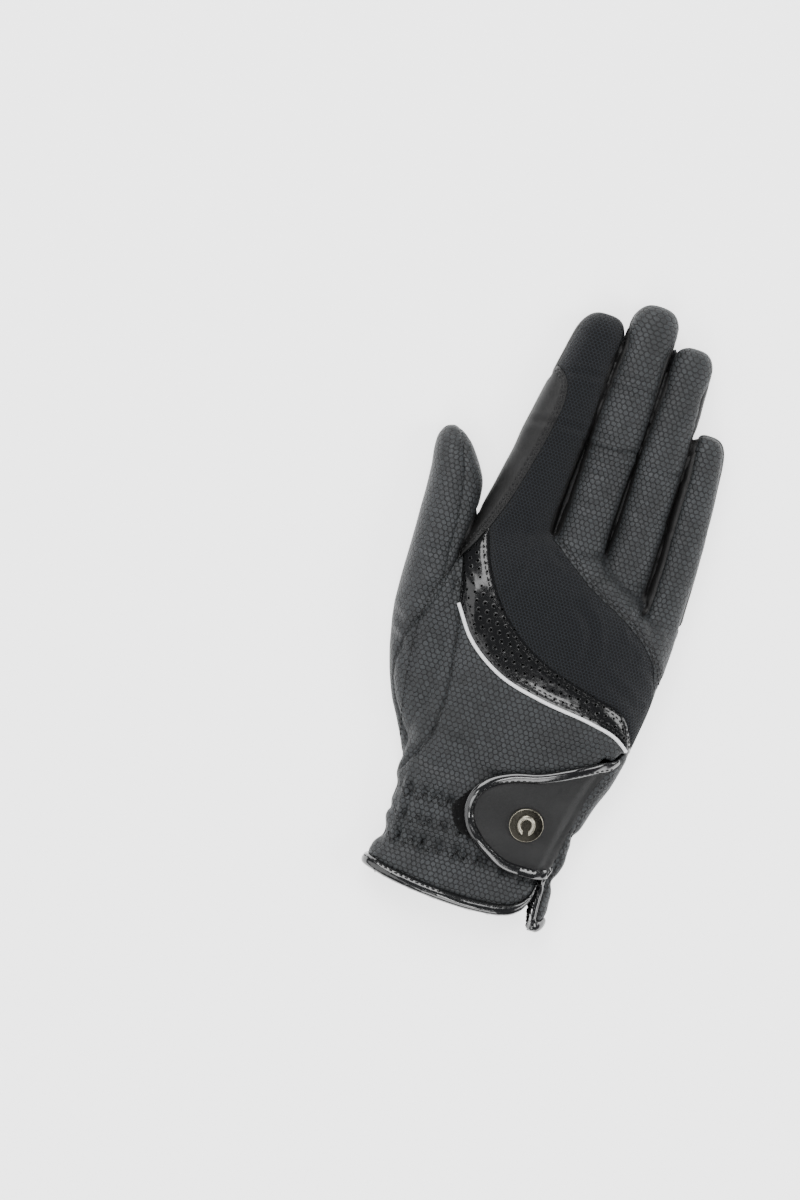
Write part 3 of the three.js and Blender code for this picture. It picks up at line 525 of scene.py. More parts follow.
def lattice_noise(points, size, seed):
    """Smooth repeatable noise between -1 and 1."""
    scaled = points / size + seed * 17.31
    cell = np.floor(scaled).astype(np.int64)
    t = scaled - cell
    t = t * t * (3 - 2 * t)
    total = np.zeros(len(points))
    for corner in range(8):
        step = np.array([corner & 1, corner >> 1 & 1, corner >> 2 & 1])
        at = cell + step
        mixed = at[:, 0] * 374761393 + at[:, 1] * 668265263 + at[:, 2] * 2147483647 + seed * 974711
        mixed = (mixed ^ (mixed >> 13)) * 1274126177 & 0x7FFFFFFF
        mixed = (mixed ^ (mixed >> 16)) * 668265263 & 0x7FFFFFFF
        value = mixed / 0x3FFFFFFF - 1.0
        weight = np.prod(np.where(step, t, 1 - t), axis=1)
        total += value * weight
    return total


def smoothstep(low, high, value):
    t = np.clip((value - low) / (high - low), 0, 1)
    return t * t * (3 - 2 * t)


# The body of the glove

def ring(x0, x1, z0, z1, inset, sides, squareness):
    """One rounded cross section, flattened on the table."""
    angle = 2 * np.pi * (np.arange(sides) + 0.5) / sides
    c, s = np.cos(angle), np.sin(angle)
    split = z0 + (z1 - z0) * WIDEST
    reach = np.where(s > 0, z1 - split - inset, split - z0 - inset)
    power = np.where(s > 0, 2 / squareness, 2 / (squareness + 0.5))
    x = (x0 + x1) / 2 + ((x1 - x0) / 2 - inset) * np.sign(c) * np.abs(c) ** (2 / squareness)
    z = split + reach * np.sign(s) * np.abs(s) ** power
    return x, np.maximum(z, inset)


def loft(rings):
    """Points and faces of a closed form through rings of points."""
    rows, sides = len(rings), len(rings[0])
    faces = []
    for row in range(rows - 1):
        for side in range(sides):
            a = row * sides + side
            b = row * sides + (side + 1) % sides
            faces.append((a, a + sides, b + sides, b))
    faces.append(tuple(range(sides)))
    faces.append(tuple(reversed(range((rows - 1) * sides, rows * sides))))
    return np.concatenate(rings), faces


def joined(parts):
    """Points and faces of several forms as those of one."""
    points, faces, offset = [], [], 0
    for part_points, part_faces in parts:
        points.append(part_points)
        faces += [tuple(index + offset for index in face) for face in part_faces]
        offset += len(part_points)
    return np.concatenate(points), faces


def section(table, at):
    """The values of a table of cross sections, read smoothly at a place."""
    return [hermite(table[:, 0], table[:, k], at) for k in range(1, table.shape[1])]


def hand_section(at):
    """Sides, bottom and top of the hand in millimetres, and the height that its shares refer to."""
    left, right, top, base, height = section(HAND_SECTIONS, at)
    return (across(left), across(right), height * base - SUNK, height * top), height


def hand_form(inset):
    """The hand without its fingers, from the cuff to the slanting row of their roots."""
    rings = []
    sides = 128
    for at in np.linspace(-6, 102, 130):
        edges, height = hand_section(at)
        x, z = ring(*edges, inset, sides, HAND_SQUARENESS)
        side = np.where(z > height * 0.35, 1, PALM_WEB_SHARE)
        slant = smoothstep(across(2), across(42), x) * (max(at, 0) / 100) ** 4
        y = np.full(sides, along(at)) - side * WEB_SLANT * slant
        rings.append(np.stack([x, y, z], 1))
    return loft(rings)


def finger_middle(finger, share):
    """Place across the glove of a finger's middle, at a share of its length."""
    bowed = across(finger["bow"]) * math.sin(math.pi * share)
    return across(np.interp(share, (0, 1), (finger["root"], finger["tip"]))) + bowed


def finger_half(finger, share):
    return across(np.interp(share, (0, 1), (finger["wide"], finger["thin"])))


def finger_form(finger, inset):
    """A finger from inside the hand to its domed tip."""
    sides = 56
    start = along(finger["web"] - FINGER_ROOT_DEPTH)
    dome = across(finger["thin"]) * DOME_SHARE
    straight = along(finger["end"]) - dome - start
    whole = straight + dome
    rows = [(share, 1.0) for share in np.linspace(0, straight / whole, 46)]
    for turn in np.radians([12, 24, 36, 47, 57, 66, 74, 81, 86.5]):
        rows.append(((straight + (dome - inset) * math.sin(turn)) / whole, math.cos(turn) ** DOME_POWER))
    rings = []
    for share, scale in rows:
        level = np.clip(share * whole / straight, 0, 1) * 0.9
        swell, top, base = section(FINGER_PROFILE, level)
        centre = finger_middle(finger, share)
        half = finger_half(finger, share) * swell
        low = FINGER_HEIGHT * finger["height"] * base - SUNK
        high = FINGER_HEIGHT * finger["height"] * top
        middle = low + (high - low) * 0.42
        x, z = ring(
            centre - (half - inset) * scale - inset,
            centre + (half - inset) * scale + inset,
            middle - (middle - low - inset) * scale - inset,
            middle + (high - middle - inset) * scale + inset,
            inset, sides, FINGER_SQUARENESS)
        rings.append(np.stack([x, np.full(sides, start + share * whole), z], 1))
    return loft(rings)


def thumb_form(inset):
    """The thumb from its mound to its tip."""
    sides = 64
    rings = []
    for y in np.linspace(THUMB_SECTIONS[0, 0], THUMB_SECTIONS[-1, 0], 90):
        outer, inner, top, base = section(THUMB_SECTIONS, y)
        low, high = THUMB_HEIGHT * base - SUNK, THUMB_HEIGHT * top
        x, z = ring(across(outer), across(inner), low, high, inset, sides, THUMB_SQUARENESS)
        rings.append(np.stack([x, np.full(sides, y), z], 1))
    rings[-1][:, 1] -= inset
    return loft(rings)


def web_form(left, right, left_height, right_height, reach):
    """Soft filling low down between two fingers, so that the slot between them has a floor of leather."""
    rings = []
    sides = 24
    start = along(min(left["web"], right["web"]) - 6)
    angle = 2 * np.pi * (np.arange(sides) + 0.5) / sides
    for share in np.linspace(0, 1, 30):
        y = start + reach * share
        ends = []
        for finger, side in ((left, 1), (right, -1)):
            root = along(finger["web"] - FINGER_ROOT_DEPTH)
            level = (y - root) / (along(finger["end"]) - root)
            ends.append(finger_middle(finger, level) + side * (finger_half(finger, level) - WEB_OVERLAP))
        fade = math.sqrt(max(0.02, 1 - share ** 3))
        slope = (np.cos(angle) + 1) / 2
        top = (left_height + (right_height - left_height) * slope) * fade
        floor = np.minimum(WEB_FLOOR, top - 1.2)
        rounded = np.abs(np.sin(angle)) ** 0.5
        x = (ends[0] + ends[1]) / 2 + (ends[1] - ends[0]) / 2 * np.cos(angle)
        z = np.where(np.sin(angle) > 0, floor + (top - floor) * rounded, floor - 0.7 * rounded)
        rings.append(np.stack([x, np.full(sides, y), z], 1))
    return loft(rings)


def deselect():
    for item in bpy.context.selected_objects:
        item.select_set(False)


def activate(item):
    deselect()
    item.select_set(True)
    bpy.context.view_layer.objects.active = item


def to_frame(points):
    return (np.asarray(points, float) + SHIFT) * MM


def link(name, mesh):
    item = bpy.data.objects.new(name, mesh)
    bpy.context.scene.collection.objects.link(item)
    return item


def new_object(name, points, faces):
    """An object at the origin from points in pattern millimetres."""
    mesh = bpy.data.meshes.new(name)
    mesh.from_pydata(to_frame(points).tolist(), [], [tuple(map(int, face)) for face in faces])
    mesh.validate()
    mesh.update()
    return link(name, mesh)


def triangle_object(name, points, triangles):
    mesh = bpy.data.meshes.new(name)
    count = len(triangles)
    mesh.vertices.add(len(points))
    mesh.vertices.foreach_set("co", to_frame(points).ravel())
    mesh.loops.add(count * 3)
    mesh.loops.foreach_set("vertex_index", triangles.ravel())
    mesh.polygons.add(count)
    mesh.polygons.foreach_set("loop_start", np.arange(0, count * 3, 3))
    mesh.update(calc_edges=True)
    return link(name, mesh)


def points_of(mesh):
    """The points of a mesh in pattern millimetres."""
    flat = np.empty(len(mesh.vertices) * 3)
    mesh.vertices.foreach_get("co", flat)
    return flat.reshape(-1, 3) / MM - SHIFT


def turn_outward(item):
    activate(item)
    bpy.ops.object.mode_set(mode="EDIT")
    bpy.ops.mesh.select_all(action="SELECT")
    bpy.ops.mesh.normals_make_consistent(inside=False)
    bpy.ops.object.mode_set(mode="OBJECT")


def apply_modifier(item, kind, **settings):
    activate(item)
    modifier = item.modifiers.new(kind.title(), kind)
    for key, value in settings.items():
        setattr(modifier, key, value)
    bpy.ops.object.modifier_apply(modifier=modifier.name)


def vertex_normals(points, triangles):
    a, b, c = (points[triangles[:, k]] for k in range(3))
    face = np.cross(b - a, c - a)
    total = np.zeros_like(points)
    for k in range(3):
        np.add.at(total, triangles[:, k], face)
    return unit(total)


def edges_of(triangles):
    return np.concatenate([triangles[:, [0, 1]], triangles[:, [1, 2]], triangles[:, [2, 0]]])


def neighbours(triangles):
    """Pairs of triangles with a common edge, and that edge."""
    edges = np.sort(edges_of(triangles), 1)
    owner = np.tile(np.arange(len(triangles)), 3)
    order = np.lexsort((edges[:, 1], edges[:, 0]))
    edges, owner = edges[order], owner[order]
    same = (edges[1:] == edges[:-1]).all(1)
    return owner[:-1][same], owner[1:][same], edges[1:][same]


def used_points(triangles):
    """The points that some triangles use, and the triangles counted in them."""
    used, inverse = np.unique(triangles, return_inverse=True)
    return used, inverse.reshape(-1, 3)


def split_at_zero(points, triangles, fields, name):
    """Cuts every triangle that a field changes sign in, along the line where it is zero."""
    value = fields[name].copy()
    value[np.abs(value) < ON_THE_LINE] = 0
    fields[name] = value
    side = np.sign(value)
    sign = side[triangles]
    crossed = (sign.max(1) > 0) & (sign.min(1) < 0)
    cut = triangles[crossed]
    kept = triangles[~crossed]
    if not len(cut):
        return points, triangles
    edges = np.sort(edges_of(cut), 1)
    first, last = np.unique(edges[side[edges[:, 0]] * side[edges[:, 1]] < 0], axis=0).T
    t = value[first] / (value[first] - value[last])
    fresh = points[first] * (1 - t)[:, None] + points[last] * t[:, None]
    lookup = {pair: len(points) + i for i, pair in enumerate(zip(first.tolist(), last.tolist()))}
    for key, field in fields.items():
        both = np.zeros(len(t)) if key == name else field[first] * (1 - t) + field[last] * t
        fields[key] = np.concatenate([field, both])
    made = []
    for corners in cut.tolist():
        signs = [side[corner] for corner in corners]
        if 0 in signs:
            k = signs.index(0)
        else:
            k = next(k for k in range(3) if signs.count(signs[k]) == 1)
        i, j, l = corners[k], corners[(k + 1) % 3], corners[(k + 2) % 3]
        if signs[k] == 0:
            m = lookup[(min(j, l), max(j, l))]
            made += [(i, j, m), (i, m, l)]
            continue
        p = lookup[(min(i, j), max(i, j))]
        q = lookup[(min(i, l), max(i, l))]
        made += [(i, p, q), (p, j, q), (j, l, q)]
    return np.concatenate([points, fresh]), np.concatenate([kept, np.array(made)])


def strip_limits(finger, y):
    """Lowest, highest and last place of the strip beside a finger, which tapers to a point."""
    height = FINGER_HEIGHT * finger["height"]
    low, high = height * 0.26, height * 0.74
    end = along(finger["end"] - 7.5)
    taper = end - FINGER_LENGTH * 0.12
    middle = (low + high) / 2 - 0.8
    share = smoothstep(taper, end, y)
    return low + (middle - 1 - low) * share, high + (middle + 1 - high) * share, end


def fourchette_field(points):
    """Positive inside the strips that join two fingers."""
    names = list(FINGERS)
    value = np.full(len(points), -1.0)
    x, y, z = points.T
    top = along(200)
    for left_name, right_name, (foot, head) in zip(names[:-1], names[1:], BETWEEN.values()):
        left, right = FINGERS[left_name], FINGERS[right_name]
        web = min(left["web"], right["web"])
        root = along(web - 20)
        share = (y - root) / (top - root)
        gap = across(foot[0]) + (across(head[0]) - across(foot[0])) * (y - along(70)) / (top - along(70))
        first = across(left["root"] + (left["tip"] - left["root"]) * share)
        last = across(right["root"] + (right["tip"] - right["root"]) * share)
        for finger, here in ((left, (x > first) & (x <= gap)), (right, (x > gap) & (x < last))):
            low, high, end = strip_limits(finger, y)
            if finger is FINGERS["little"]:
                edge = last - across(finger["wide"]) + 3.6 + 1.2 * smoothstep(118, 135, y)
                high = np.where(x < edge, np.maximum(high, high + (edge - x) * 2.5), high)
            inner = np.minimum.reduce([z - low, high - z, y - along(web - 7), end - y])
            value[here] = inner[here]
    return value


def lines():
    """Every seam as a plan line in millimetres."""
    made = {name: seam(places, count) for name, (count, places) in SEAMS.items()}
    gap = np.array([(across(-12.9), along(200)), (across(-15.8), along(104))])
    made["knuckles"] = np.concatenate([gap, made["knuckle_edge"]])
    mound = SEAMS["mound"][1]
    made["thumb_back"] = np.concatenate([seam(GUSSET_FOLD[::-1], 34), seam(THUMB_GAP, 18)[1:]])
    made["thumb_front"] = np.concatenate([seam(mound[::-1], 44), seam([mound[0]] + THUMB_GAP[1:], 18)[1:]])
    for name, (foot, head) in BETWEEN.items():
        made[name] = np.array([(across(foot[0]), along(foot[1])), (across(head[0]), along(head[1]))])
    made["hem"] = spline(HEM_BACK, 60)
    return made


def skin_fields(points, seams):
    """Signed distances that say which panel a point belongs to."""
    x, y, z = points.T
    flat = points[:, :2]
    fields = {"side": z - np.interp(y, SIDE_Y, SIDE_Z)}
    back = fields["side"] > -SIDE_BLUR

    def only(where, values, other=1.0):
        return np.where(where, values, other)

    for name in ("thumb_back", "strip_back", "gusset", "vent", "knuckles", "index_middle", "middle_ring",
                 "ring_little", "thumb_front", "strip_front"):
        fields[name] = left_of(flat, seams[name])
    for name in ACROSS_SEAMS:
        fields[name] = above(flat, seams[name])
    near_thumb = x < THUMB_SIDE
    fields["thumb_strip"] = only(near_thumb, left_of(flat, seams["thumb_strip"]))
    fields["thumb_low"] = only(near_thumb & (y > along(78)), z - THUMB_STRIP_BASE)
    fields["thumb_start"] = only(near_thumb, y - along(80))
    fields["fourchette"] = fourchette_field(points)
    fields["slit"] = fields["vent"] - SLIT_WIDTH
    fields["mouth"] = only((y > MOUTH_LOW) & (y < MOUTH_HIGH + 2), fields["vent"] - TAB_DIP - 0.3, -1.0)
    fields["wrist_end"] = along(WRIST_END) - y
    hem_back = np.interp(x, seams["hem"][:, 0], seams["hem"][:, 1])
    slow = smoothstep(-2.0, 2.0, fields["side"])
    hem_front = np.interp(x, PALM_HEM[:, 0], PALM_HEM[:, 1])
    hem = hem_back * slow + hem_front * (1 - slow)
    right_edge = (fields["vent"] < 0) & (y < 30)
    fields["hem"] = y - np.where(right_edge & back | (x > 23.2), hem_front, hem)
    fields["binding"] = fields["hem"] - BINDING_WIDTH
    tip_binding = np.minimum(fields["vent"] + TIP_BINDING_WIDTH, TIP_BINDING_END - y)
    fields["tip_binding"] = only(back & (y < 40), tip_binding, -1.0)
    return fields


def label_triangles(points, triangles, fields):
    """The panel of each triangle as its place in the list of panels, or -2 where the leather is cut away."""
    value = {name: field[triangles].sum(1) for name, field in fields.items()}
    back = value["side"] > 0
    names = list(PANELS)
    label = np.full(len(triangles), -1)

    def give(name, where):
        label[(label == -1) & where] = names.index(name)

    wrist = (value["wrist_end"] > 0) & back
    centre, level = points[triangles].mean(1)[:, :2].T
    in_mouth = (value["mouth"] < 0) & (level > MOUTH_LOW) & (level < MOUTH_HIGH)
    label[value["hem"] < 0] = -2
    label[(label == -1) & wrist & (value["vent"] > 0) & ((value["slit"] < 0) | in_mouth)] = -2
    give("cuff_binding", value["binding"] < 0)
    give("cuff_binding", back & (value["vent"] < 0) & (value["tip_binding"] > 0))
    strip = value["fourchette"] > 0
    give("index_middle_fourchette", strip & (centre < across(-2.5)))
    give("middle_ring_fourchette", strip & (centre < across(20)))
    give("ring_little_fourchette", strip)
    thumb = (value["thumb_back"] > 0) | (value["thumb_front"] > 0) & ~back
    inner = (value["thumb_strip"] < 0) & (value["thumb_low"] > 0) & (value["thumb_start"] > 0)
    give("thumb_inner_strip", thumb & inner)
    give("thumb_panel", thumb)
    above_foot = (value["strip_back"] > 0) & (value["strip_foot"] > 0) & back
    beyond_mound = (value["strip_front"] > 0) & (value["mound"] > 0) & ~back
    give("index_side_strip", above_foot | beyond_mound)
    give("palm_panel", wrist & (value["vent"] < 0))
    give("thumb_gusset", back & (value["gusset"] > 0) & (value["strip_foot"] < 0))
    give("lower_back_panel", back & (value["piping"] < 0))
    give("patent_band", back & (value["band"] < 0))
    give("mesh_panel", back & (value["knuckles"] > 0))
    give("knuckle_panel", back)
    give("palm_panel", value["grip"] < 0)
    give("grip_panel", (value["cross"] < 0) | (value["index_middle"] > 0))
    give("middle_front", value["middle_ring"] > 0)
    give("ring_front", value["ring_little"] > 0)
    give("little_front", label == -1)
    return label


def tidy_crumbs(label, left, right):
    """Gives small islands of a panel to the panel round them."""
    root = np.arange(len(label))
    linked = label[left] == label[right]
    a, b = left[linked], right[linked]
    while True:
        low = np.minimum(root[a], root[b])
        before = root.copy()
        np.minimum.at(root, a, low)
        np.minimum.at(root, b, low)
        root = root[root]
        if (root == before).all():
            break
    main = np.zeros(len(label), bool)
    for name in np.unique(label):
        roots, counts = np.unique(root[label == name], return_counts=True)
        main |= root == roots[counts.argmax()]
    pairs = np.concatenate([np.stack([left, right], 1), np.stack([right, left], 1)])
    for _ in range(CRUMB_ROUNDS):
        loose = ~main & (label >= -1)
        usable = pairs[loose[pairs[:, 0]] & main[pairs[:, 1]]]
        if not len(usable):
            break
        label[usable[:, 0]] = label[usable[:, 1]]
        main[usable[:, 0]] = True
    return label


def crease(flat, line, depth, width):
    """Height of a crease at plan points: a fold that fades at its ends, with a low swelling beside it."""
    run = run_along(line)
    best = np.full(len(flat), 1e9)
    place = np.zeros(len(flat))
    for here, travelled in zip(line, run):
        distance = np.hypot(*(flat - here).T)
        closer = distance < best
        best[closer] = distance[closer]
        place[closer] = travelled
    fade = np.sin(np.pi * np.clip(place / run[-1] * 0.86 + 0.07, 0, 1)) ** 0.6
    fold = -depth * np.exp(-(best / width) ** 2)
    swelling = 0.45 * depth * np.exp(-((best - 2.1 * width) / width) ** 2)
    return (fold + swelling) * fade


def relief(points, normals, fields):
    """Folds, gathers, creases and soft unevenness of the leather, in millimetres along the normal."""
    x, y = points[:, :2].T
    deepen = CREASE_GAIN * bpy.context.scene.glove_sizes.relief
    height = 0.46 * lattice_noise(points * [1, 0.7, 1], 19.0, 3) + 0.2 * lattice_noise(points, 8.0, 5)
    facing = {"back": smoothstep(-0.1, 0.5, normals[:, 2]), "palm": smoothstep(-0.1, 0.5, -normals[:, 2])}
    for side, creases in CREASES.items():
        for depth, width, course in creases:
            line = spline(course, 40)
            near = (np.abs(x - line[:, 0].mean()) < 60) & (np.abs(y - line[:, 1].mean()) < 60)
            where = np.nonzero(near & (facing[side] > 0))[0]
            height[where] += crease(points[where, :2], line, depth * deepen, width) * facing[side][where]
    for name, group, offsets, side, low, high in STITCHED:
        name = "knuckles" if name == "knuckle_edge" else name
        if name not in fields or name == "hem":
            continue
        turned = -1 if name in ACROSS_SEAMS else 1
        dent = 0.1 if group == "band_stitches" else 0.24
        dent = dent * facing["back" if side > 0 else "palm"]
        dent = dent * smoothstep(low - 2, low + 2, y) * (1 - smoothstep(high - 2, high + 2, y))
        for offset in offsets:
            height -= dent * np.exp(-((fields[name] - turned * offset) / 0.42) ** 2)
    shirr = smoothstep(8, 16, y) * (1 - smoothstep(38, 47, y))
    warp = 1.6 * lattice_noise(points * [1, 0.35, 1], 9.0, 11)
    pucker = np.cos(2 * np.pi * (x + warp) / 5.6)
    pucker += 0.5 * np.cos(2 * np.pi * (x * 1.31 + warp * 0.6 + y * 0.08) / 4.3)
    drawn = sum(np.exp(-((y - row) / 2.6) ** 2) for row in ELASTIC_ROWS)
    height += shirr * (0.6 * pucker * (0.35 + 0.95 * np.minimum(drawn, 1)) - 0.85 * drawn)
    height += shirr * 0.4 * lattice_noise(points * [1.5, 1, 1], 6.0, 21)
    return height


def soften_roots(form):
    """Eases the steps where the fingers leave the hand."""
    x, y, z = points_of(form.data).T
    reach = y + WEB_SLANT * smoothstep(across(2), across(42), x)
    weight = smoothstep(112, 124, reach) * (1 - smoothstep(152, 162, reach)) * smoothstep(7, 10, z)
    weight = np.maximum(weight, smoothstep(112, 122, reach) * (1 - smoothstep(150, 160, reach)) * (x > 37))
    group = form.vertex_groups.new(name="roots")
    for level in range(1, 11):
        chosen = np.nonzero(np.round(weight * 10).astype(int) == level)[0]
        group.add(chosen.tolist(), level / 10, "REPLACE")
    apply_modifier(form, "SMOOTH", factor=0.7, iterations=52, vertex_group="roots")


def hand_skin():
    """Points and triangles of the hand's bare skin, before it is cut into panels."""
    fingers = list(FINGERS.values())
    parts = [hand_form(FORM_INSET), thumb_form(FORM_INSET)]
    parts += [finger_form(each, FORM_INSET) for each in fingers]
    parts += [web_form(*pair, *sizes) for *pair, sizes in zip(fingers[:-1], fingers[1:], WEBS)]
    form = new_object("hide_form", *joined(parts))
    activate(form)
    form.data.remesh_voxel_size = VOXEL * MM
    form.data.use_remesh_preserve_volume = True
    bpy.ops.object.voxel_remesh()
    apply_modifier(form, "SMOOTH", factor=0.6, iterations=7)
    soften_roots(form)
    mesh = form.data
    mesh.calc_loop_triangles()
    triangles = np.empty(len(mesh.loop_triangles) * 3, np.int32)
    mesh.loop_triangles.foreach_get("vertices", triangles)
    triangles = triangles.reshape(-1, 3).astype(np.int64)
    points = points_of(mesh)
    bpy.data.objects.remove(form)
    points = points + vertex_normals(points, triangles) * (FORM_INSET + SMOOTHING_LOSS)
    points[:, 2] = np.maximum(points[:, 2], 0.05)
    return points, triangles


def build_skin():
    """Cuts the hand's skin along its seams, labels the panels and gives them their relief."""
    points, triangles = hand_skin()
    seams = lines()
    fields = skin_fields(points, seams)
    for name in list(fields):
        points, triangles = split_at_zero(points, triangles, fields, name)
    left, right, shared = neighbours(triangles)
    label = tidy_crumbs(label_triangles(points, triangles, fields), left, right)

    rim = np.unique(shared[label[left] != label[right]])
    tree = KDTree(len(rim))
    for i, index in enumerate(rim.tolist()):
        tree.insert(points[index], i)
    tree.balance()
    near = np.array([tree.find(point)[2] for point in points.tolist()])

    normals = vertex_normals(points, triangles)
    height = relief(points, normals, fields)
    height *= 0.25 + 0.75 * smoothstep(0, 3, fields["hem"])
    height += -SEAM_DEPTH * np.exp(-(near / SEAM_WIDTH) ** 2) + 0.3 * smoothstep(0.7, 3.2, near)
    shaped = points + normals * height[:, None]
    shaped[:, 2] = np.maximum(shaped[:, 2], 0.02)
    store.update(points=shaped, triangles=triangles, label=label, fields=fields, seams=seams, cover=[],
                 calm=calm_normals(shaped, triangles))


# Materials

def put(tree, made, **inputs):
    """Gives a node's inputs their values, and links those that are given a socket."""
    for key, value in inputs.items():
        target = made.inputs[int(key[1:]) if key[1:].isdigit() else key.replace("_", " ")]
        if isinstance(value, bpy.types.NodeSocket):
            tree.links.new(value, target)
        else:
            target.default_value = value
    return made


def node(tree, kind, settings=None, **inputs):
    """A shader node whose inputs are called by name, or i and their number."""
    made = tree.nodes.new(kind)
    for key, value in (settings or {}).items():
        setattr(made, key, value)
    return put(tree, made, **inputs)


def numbered(values):
    return {f"i{k}": value for k, value in enumerate(values)}


def new_material(name):
    material = bpy.data.materials.new(name)
    material.use_nodes = True
    tree = material.node_tree
    tree.nodes.clear()
    output = tree.nodes.new("ShaderNodeOutputMaterial")
    shader = tree.nodes.new("ShaderNodeBsdfPrincipled")
    tree.links.new(shader.outputs[0], output.inputs[0])
    return material, tree, shader


def vector_math(tree, operation, *values):
    made = node(tree, "ShaderNodeVectorMath", {"operation": operation}, **numbered(values))
    return made.outputs["Value" if operation in ("LENGTH", "DOT_PRODUCT", "DISTANCE") else "Vector"]


def maths(tree, operation, *values):
    return node(tree, "ShaderNodeMath", {"operation": operation}, **numbered(values)).outputs[0]


def ramp_between(tree, value, low, high, start=0.0, end=1.0):
    return node(tree, "ShaderNodeMapRange", {"interpolation_type": "SMOOTHSTEP"}, i0=value, i1=low, i2=high,
                i3=start, i4=end).outputs[0]


def mix_colours(tree, factor, first, second):
    return node(tree, "ShaderNodeMix", {"data_type": "RGBA"}, i0=factor, i6=first, i7=second).outputs[2]


def object_place(tree):
    return node(tree, "ShaderNodeTexCoord").outputs["Object"]


def slanted_bands(tree, place, scale, wobble):
    kind = {"wave_type": "BANDS", "bands_direction": "DIAGONAL"}
    return node(tree, "ShaderNodeTexWave", kind, i0=place, i1=scale, i2=wobble).outputs[1]


def pattern_place(tree, cell, wander=0.0):
    """The leather's own flat coordinates in cells, with a little wandering."""
    uv = node(tree, "ShaderNodeUVMap", {"uv_map": "pattern"}).outputs[0]
    if wander:
        drift = node(tree, "ShaderNodeTexNoise", i0=uv, i2=0.14, i3=3.0)
        swing = vector_math(tree, "SUBTRACT", drift.outputs["Color"], (0.5, 0.5, 0.5))
        swing = vector_math(tree, "MULTIPLY", swing, (wander * cell, wander * cell, 0.0))
        uv = vector_math(tree, "ADD", uv, swing)
    return vector_math(tree, "MULTIPLY", uv, (1 / cell, 1 / cell, 0.0))


def hexagon_cells(tree, place):
    """Offset from the middle of the nearest cell of a honeycomb."""
    half = (0.5, HEXAGON_SLANT, 0.5)
    minus = (-0.5, -HEXAGON_SLANT, -0.5)
    first = vector_math(tree, "WRAP", place, half, minus)
    moved = vector_math(tree, "SUBTRACT", place, (0.5, HEXAGON_SLANT, 0.0))
    second = vector_math(tree, "WRAP", moved, half, minus)
    nearer = maths(tree, "LESS_THAN", vector_math(tree, "LENGTH", first), vector_math(tree, "LENGTH", second))
    return node(tree, "ShaderNodeMix", {"data_type": "VECTOR"}, i0=nearer, i4=second, i5=first).outputs[1]


def hexagon_edge(tree, offset):
    """Distance to the edge of a honeycomb cell, from 0.5 in its middle to 0."""
    positive = vector_math(tree, "ABSOLUTE", offset)
    slanted = vector_math(tree, "DOT_PRODUCT", positive, (0.5, HEXAGON_SLANT, 0.0))
    apart = node(tree, "ShaderNodeSeparateXYZ", i0=positive)
    return maths(tree, "SUBTRACT", 0.5, maths(tree, "MAXIMUM", slanted, apart.outputs[0]))


def surface_noise(tree, size, detail=3.0, roughness=0.55):
    """Noise on the object's own coordinates, with features of a size in millimetres."""
    return node(tree, "ShaderNodeTexNoise", i0=object_place(tree), i2=1 / (size * MM), i3=detail,
                i4=roughness).outputs[0]


def bump(tree, shader, height, depth, strength):
    made = node(tree, "ShaderNodeBump", Height=height, Distance=depth * MM, Strength=strength)
    put(tree, shader, Normal=made.outputs[0])


def tint(colour, share=1.0):
    """A colour at a share of its own brightness."""
    return tuple(part * share for part in colour[:3]) + (1,)


def embossed_leather(settings):
    """Charcoal leather pressed with small hexagons, with painted shade in the grooves between them."""
    material, tree, shader = new_material("hex_leather")
    place = pattern_place(tree, settings.hexagon / MM, 0.85)
    offset = hexagon_cells(tree, place)
    edge = hexagon_edge(tree, offset)
    cell_middle = vector_math(tree, "SUBTRACT", place, offset)
    each = node(tree, "ShaderNodeTexNoise", i0=cell_middle, i2=1.3, i3=0.0).outputs[0]
    grain = surface_noise(tree, 0.32, 2.0)
    broad = surface_noise(tree, 16.0)
    pillow = ramp_between(tree, edge, 0.01, 0.17)
    bump(tree, shader, maths(tree, "MULTIPLY_ADD", grain, 0.3, pillow), 0.24, 0.9)
    base = settings.hide_colour
    shade = maths(tree, "MULTIPLY_ADD", broad, 0.6, maths(tree, "MULTIPLY", each, 0.4))
    light = mix_colours(tree, ramp_between(tree, shade, 0.34, 0.66), tint(base, 0.85), tint(base, 1.75))
    # Painted shade: the pressed grooves between the cells are darkened to a tenth of the leather's
    # brightness.
    colour = mix_colours(tree, ramp_between(tree, edge, 0.03, 0.15), tint(base, 0.1), light)
    rough = ramp_between(tree, grain, 0.2, 0.8, 0.5, 0.62)
    put(tree, shader, Base_Color=colour, Roughness=rough, Specular_IOR_Level=0.42)
    return material


def plain_leather(name, colour, rough):
    """Fine-grained leather."""
    material, tree, shader = new_material(name)
    grain = surface_noise(tree, 0.45, 4.0, 0.65)
    cells = node(tree, "ShaderNodeTexVoronoi", {"feature": "DISTANCE_TO_EDGE"}, i0=object_place(tree),
                 Scale=1 / (0.6 * MM))
    height = maths(tree, "MULTIPLY_ADD", grain, 0.6, ramp_between(tree, cells.outputs[0], 0.0, 0.22))
    bump(tree, shader, height, 0.05, 0.7)
    broad = ramp_between(tree, surface_noise(tree, 18.0), 0.3, 0.7)
    shade = mix_colours(tree, broad, tint(colour, 0.82), tint(colour, 1.18))
    rough = ramp_between(tree, grain, 0.25, 0.75, rough - 0.05, rough + 0.07)
    put(tree, shader, Base_Color=shade, Roughness=rough, Specular_IOR_Level=0.34)
    return material


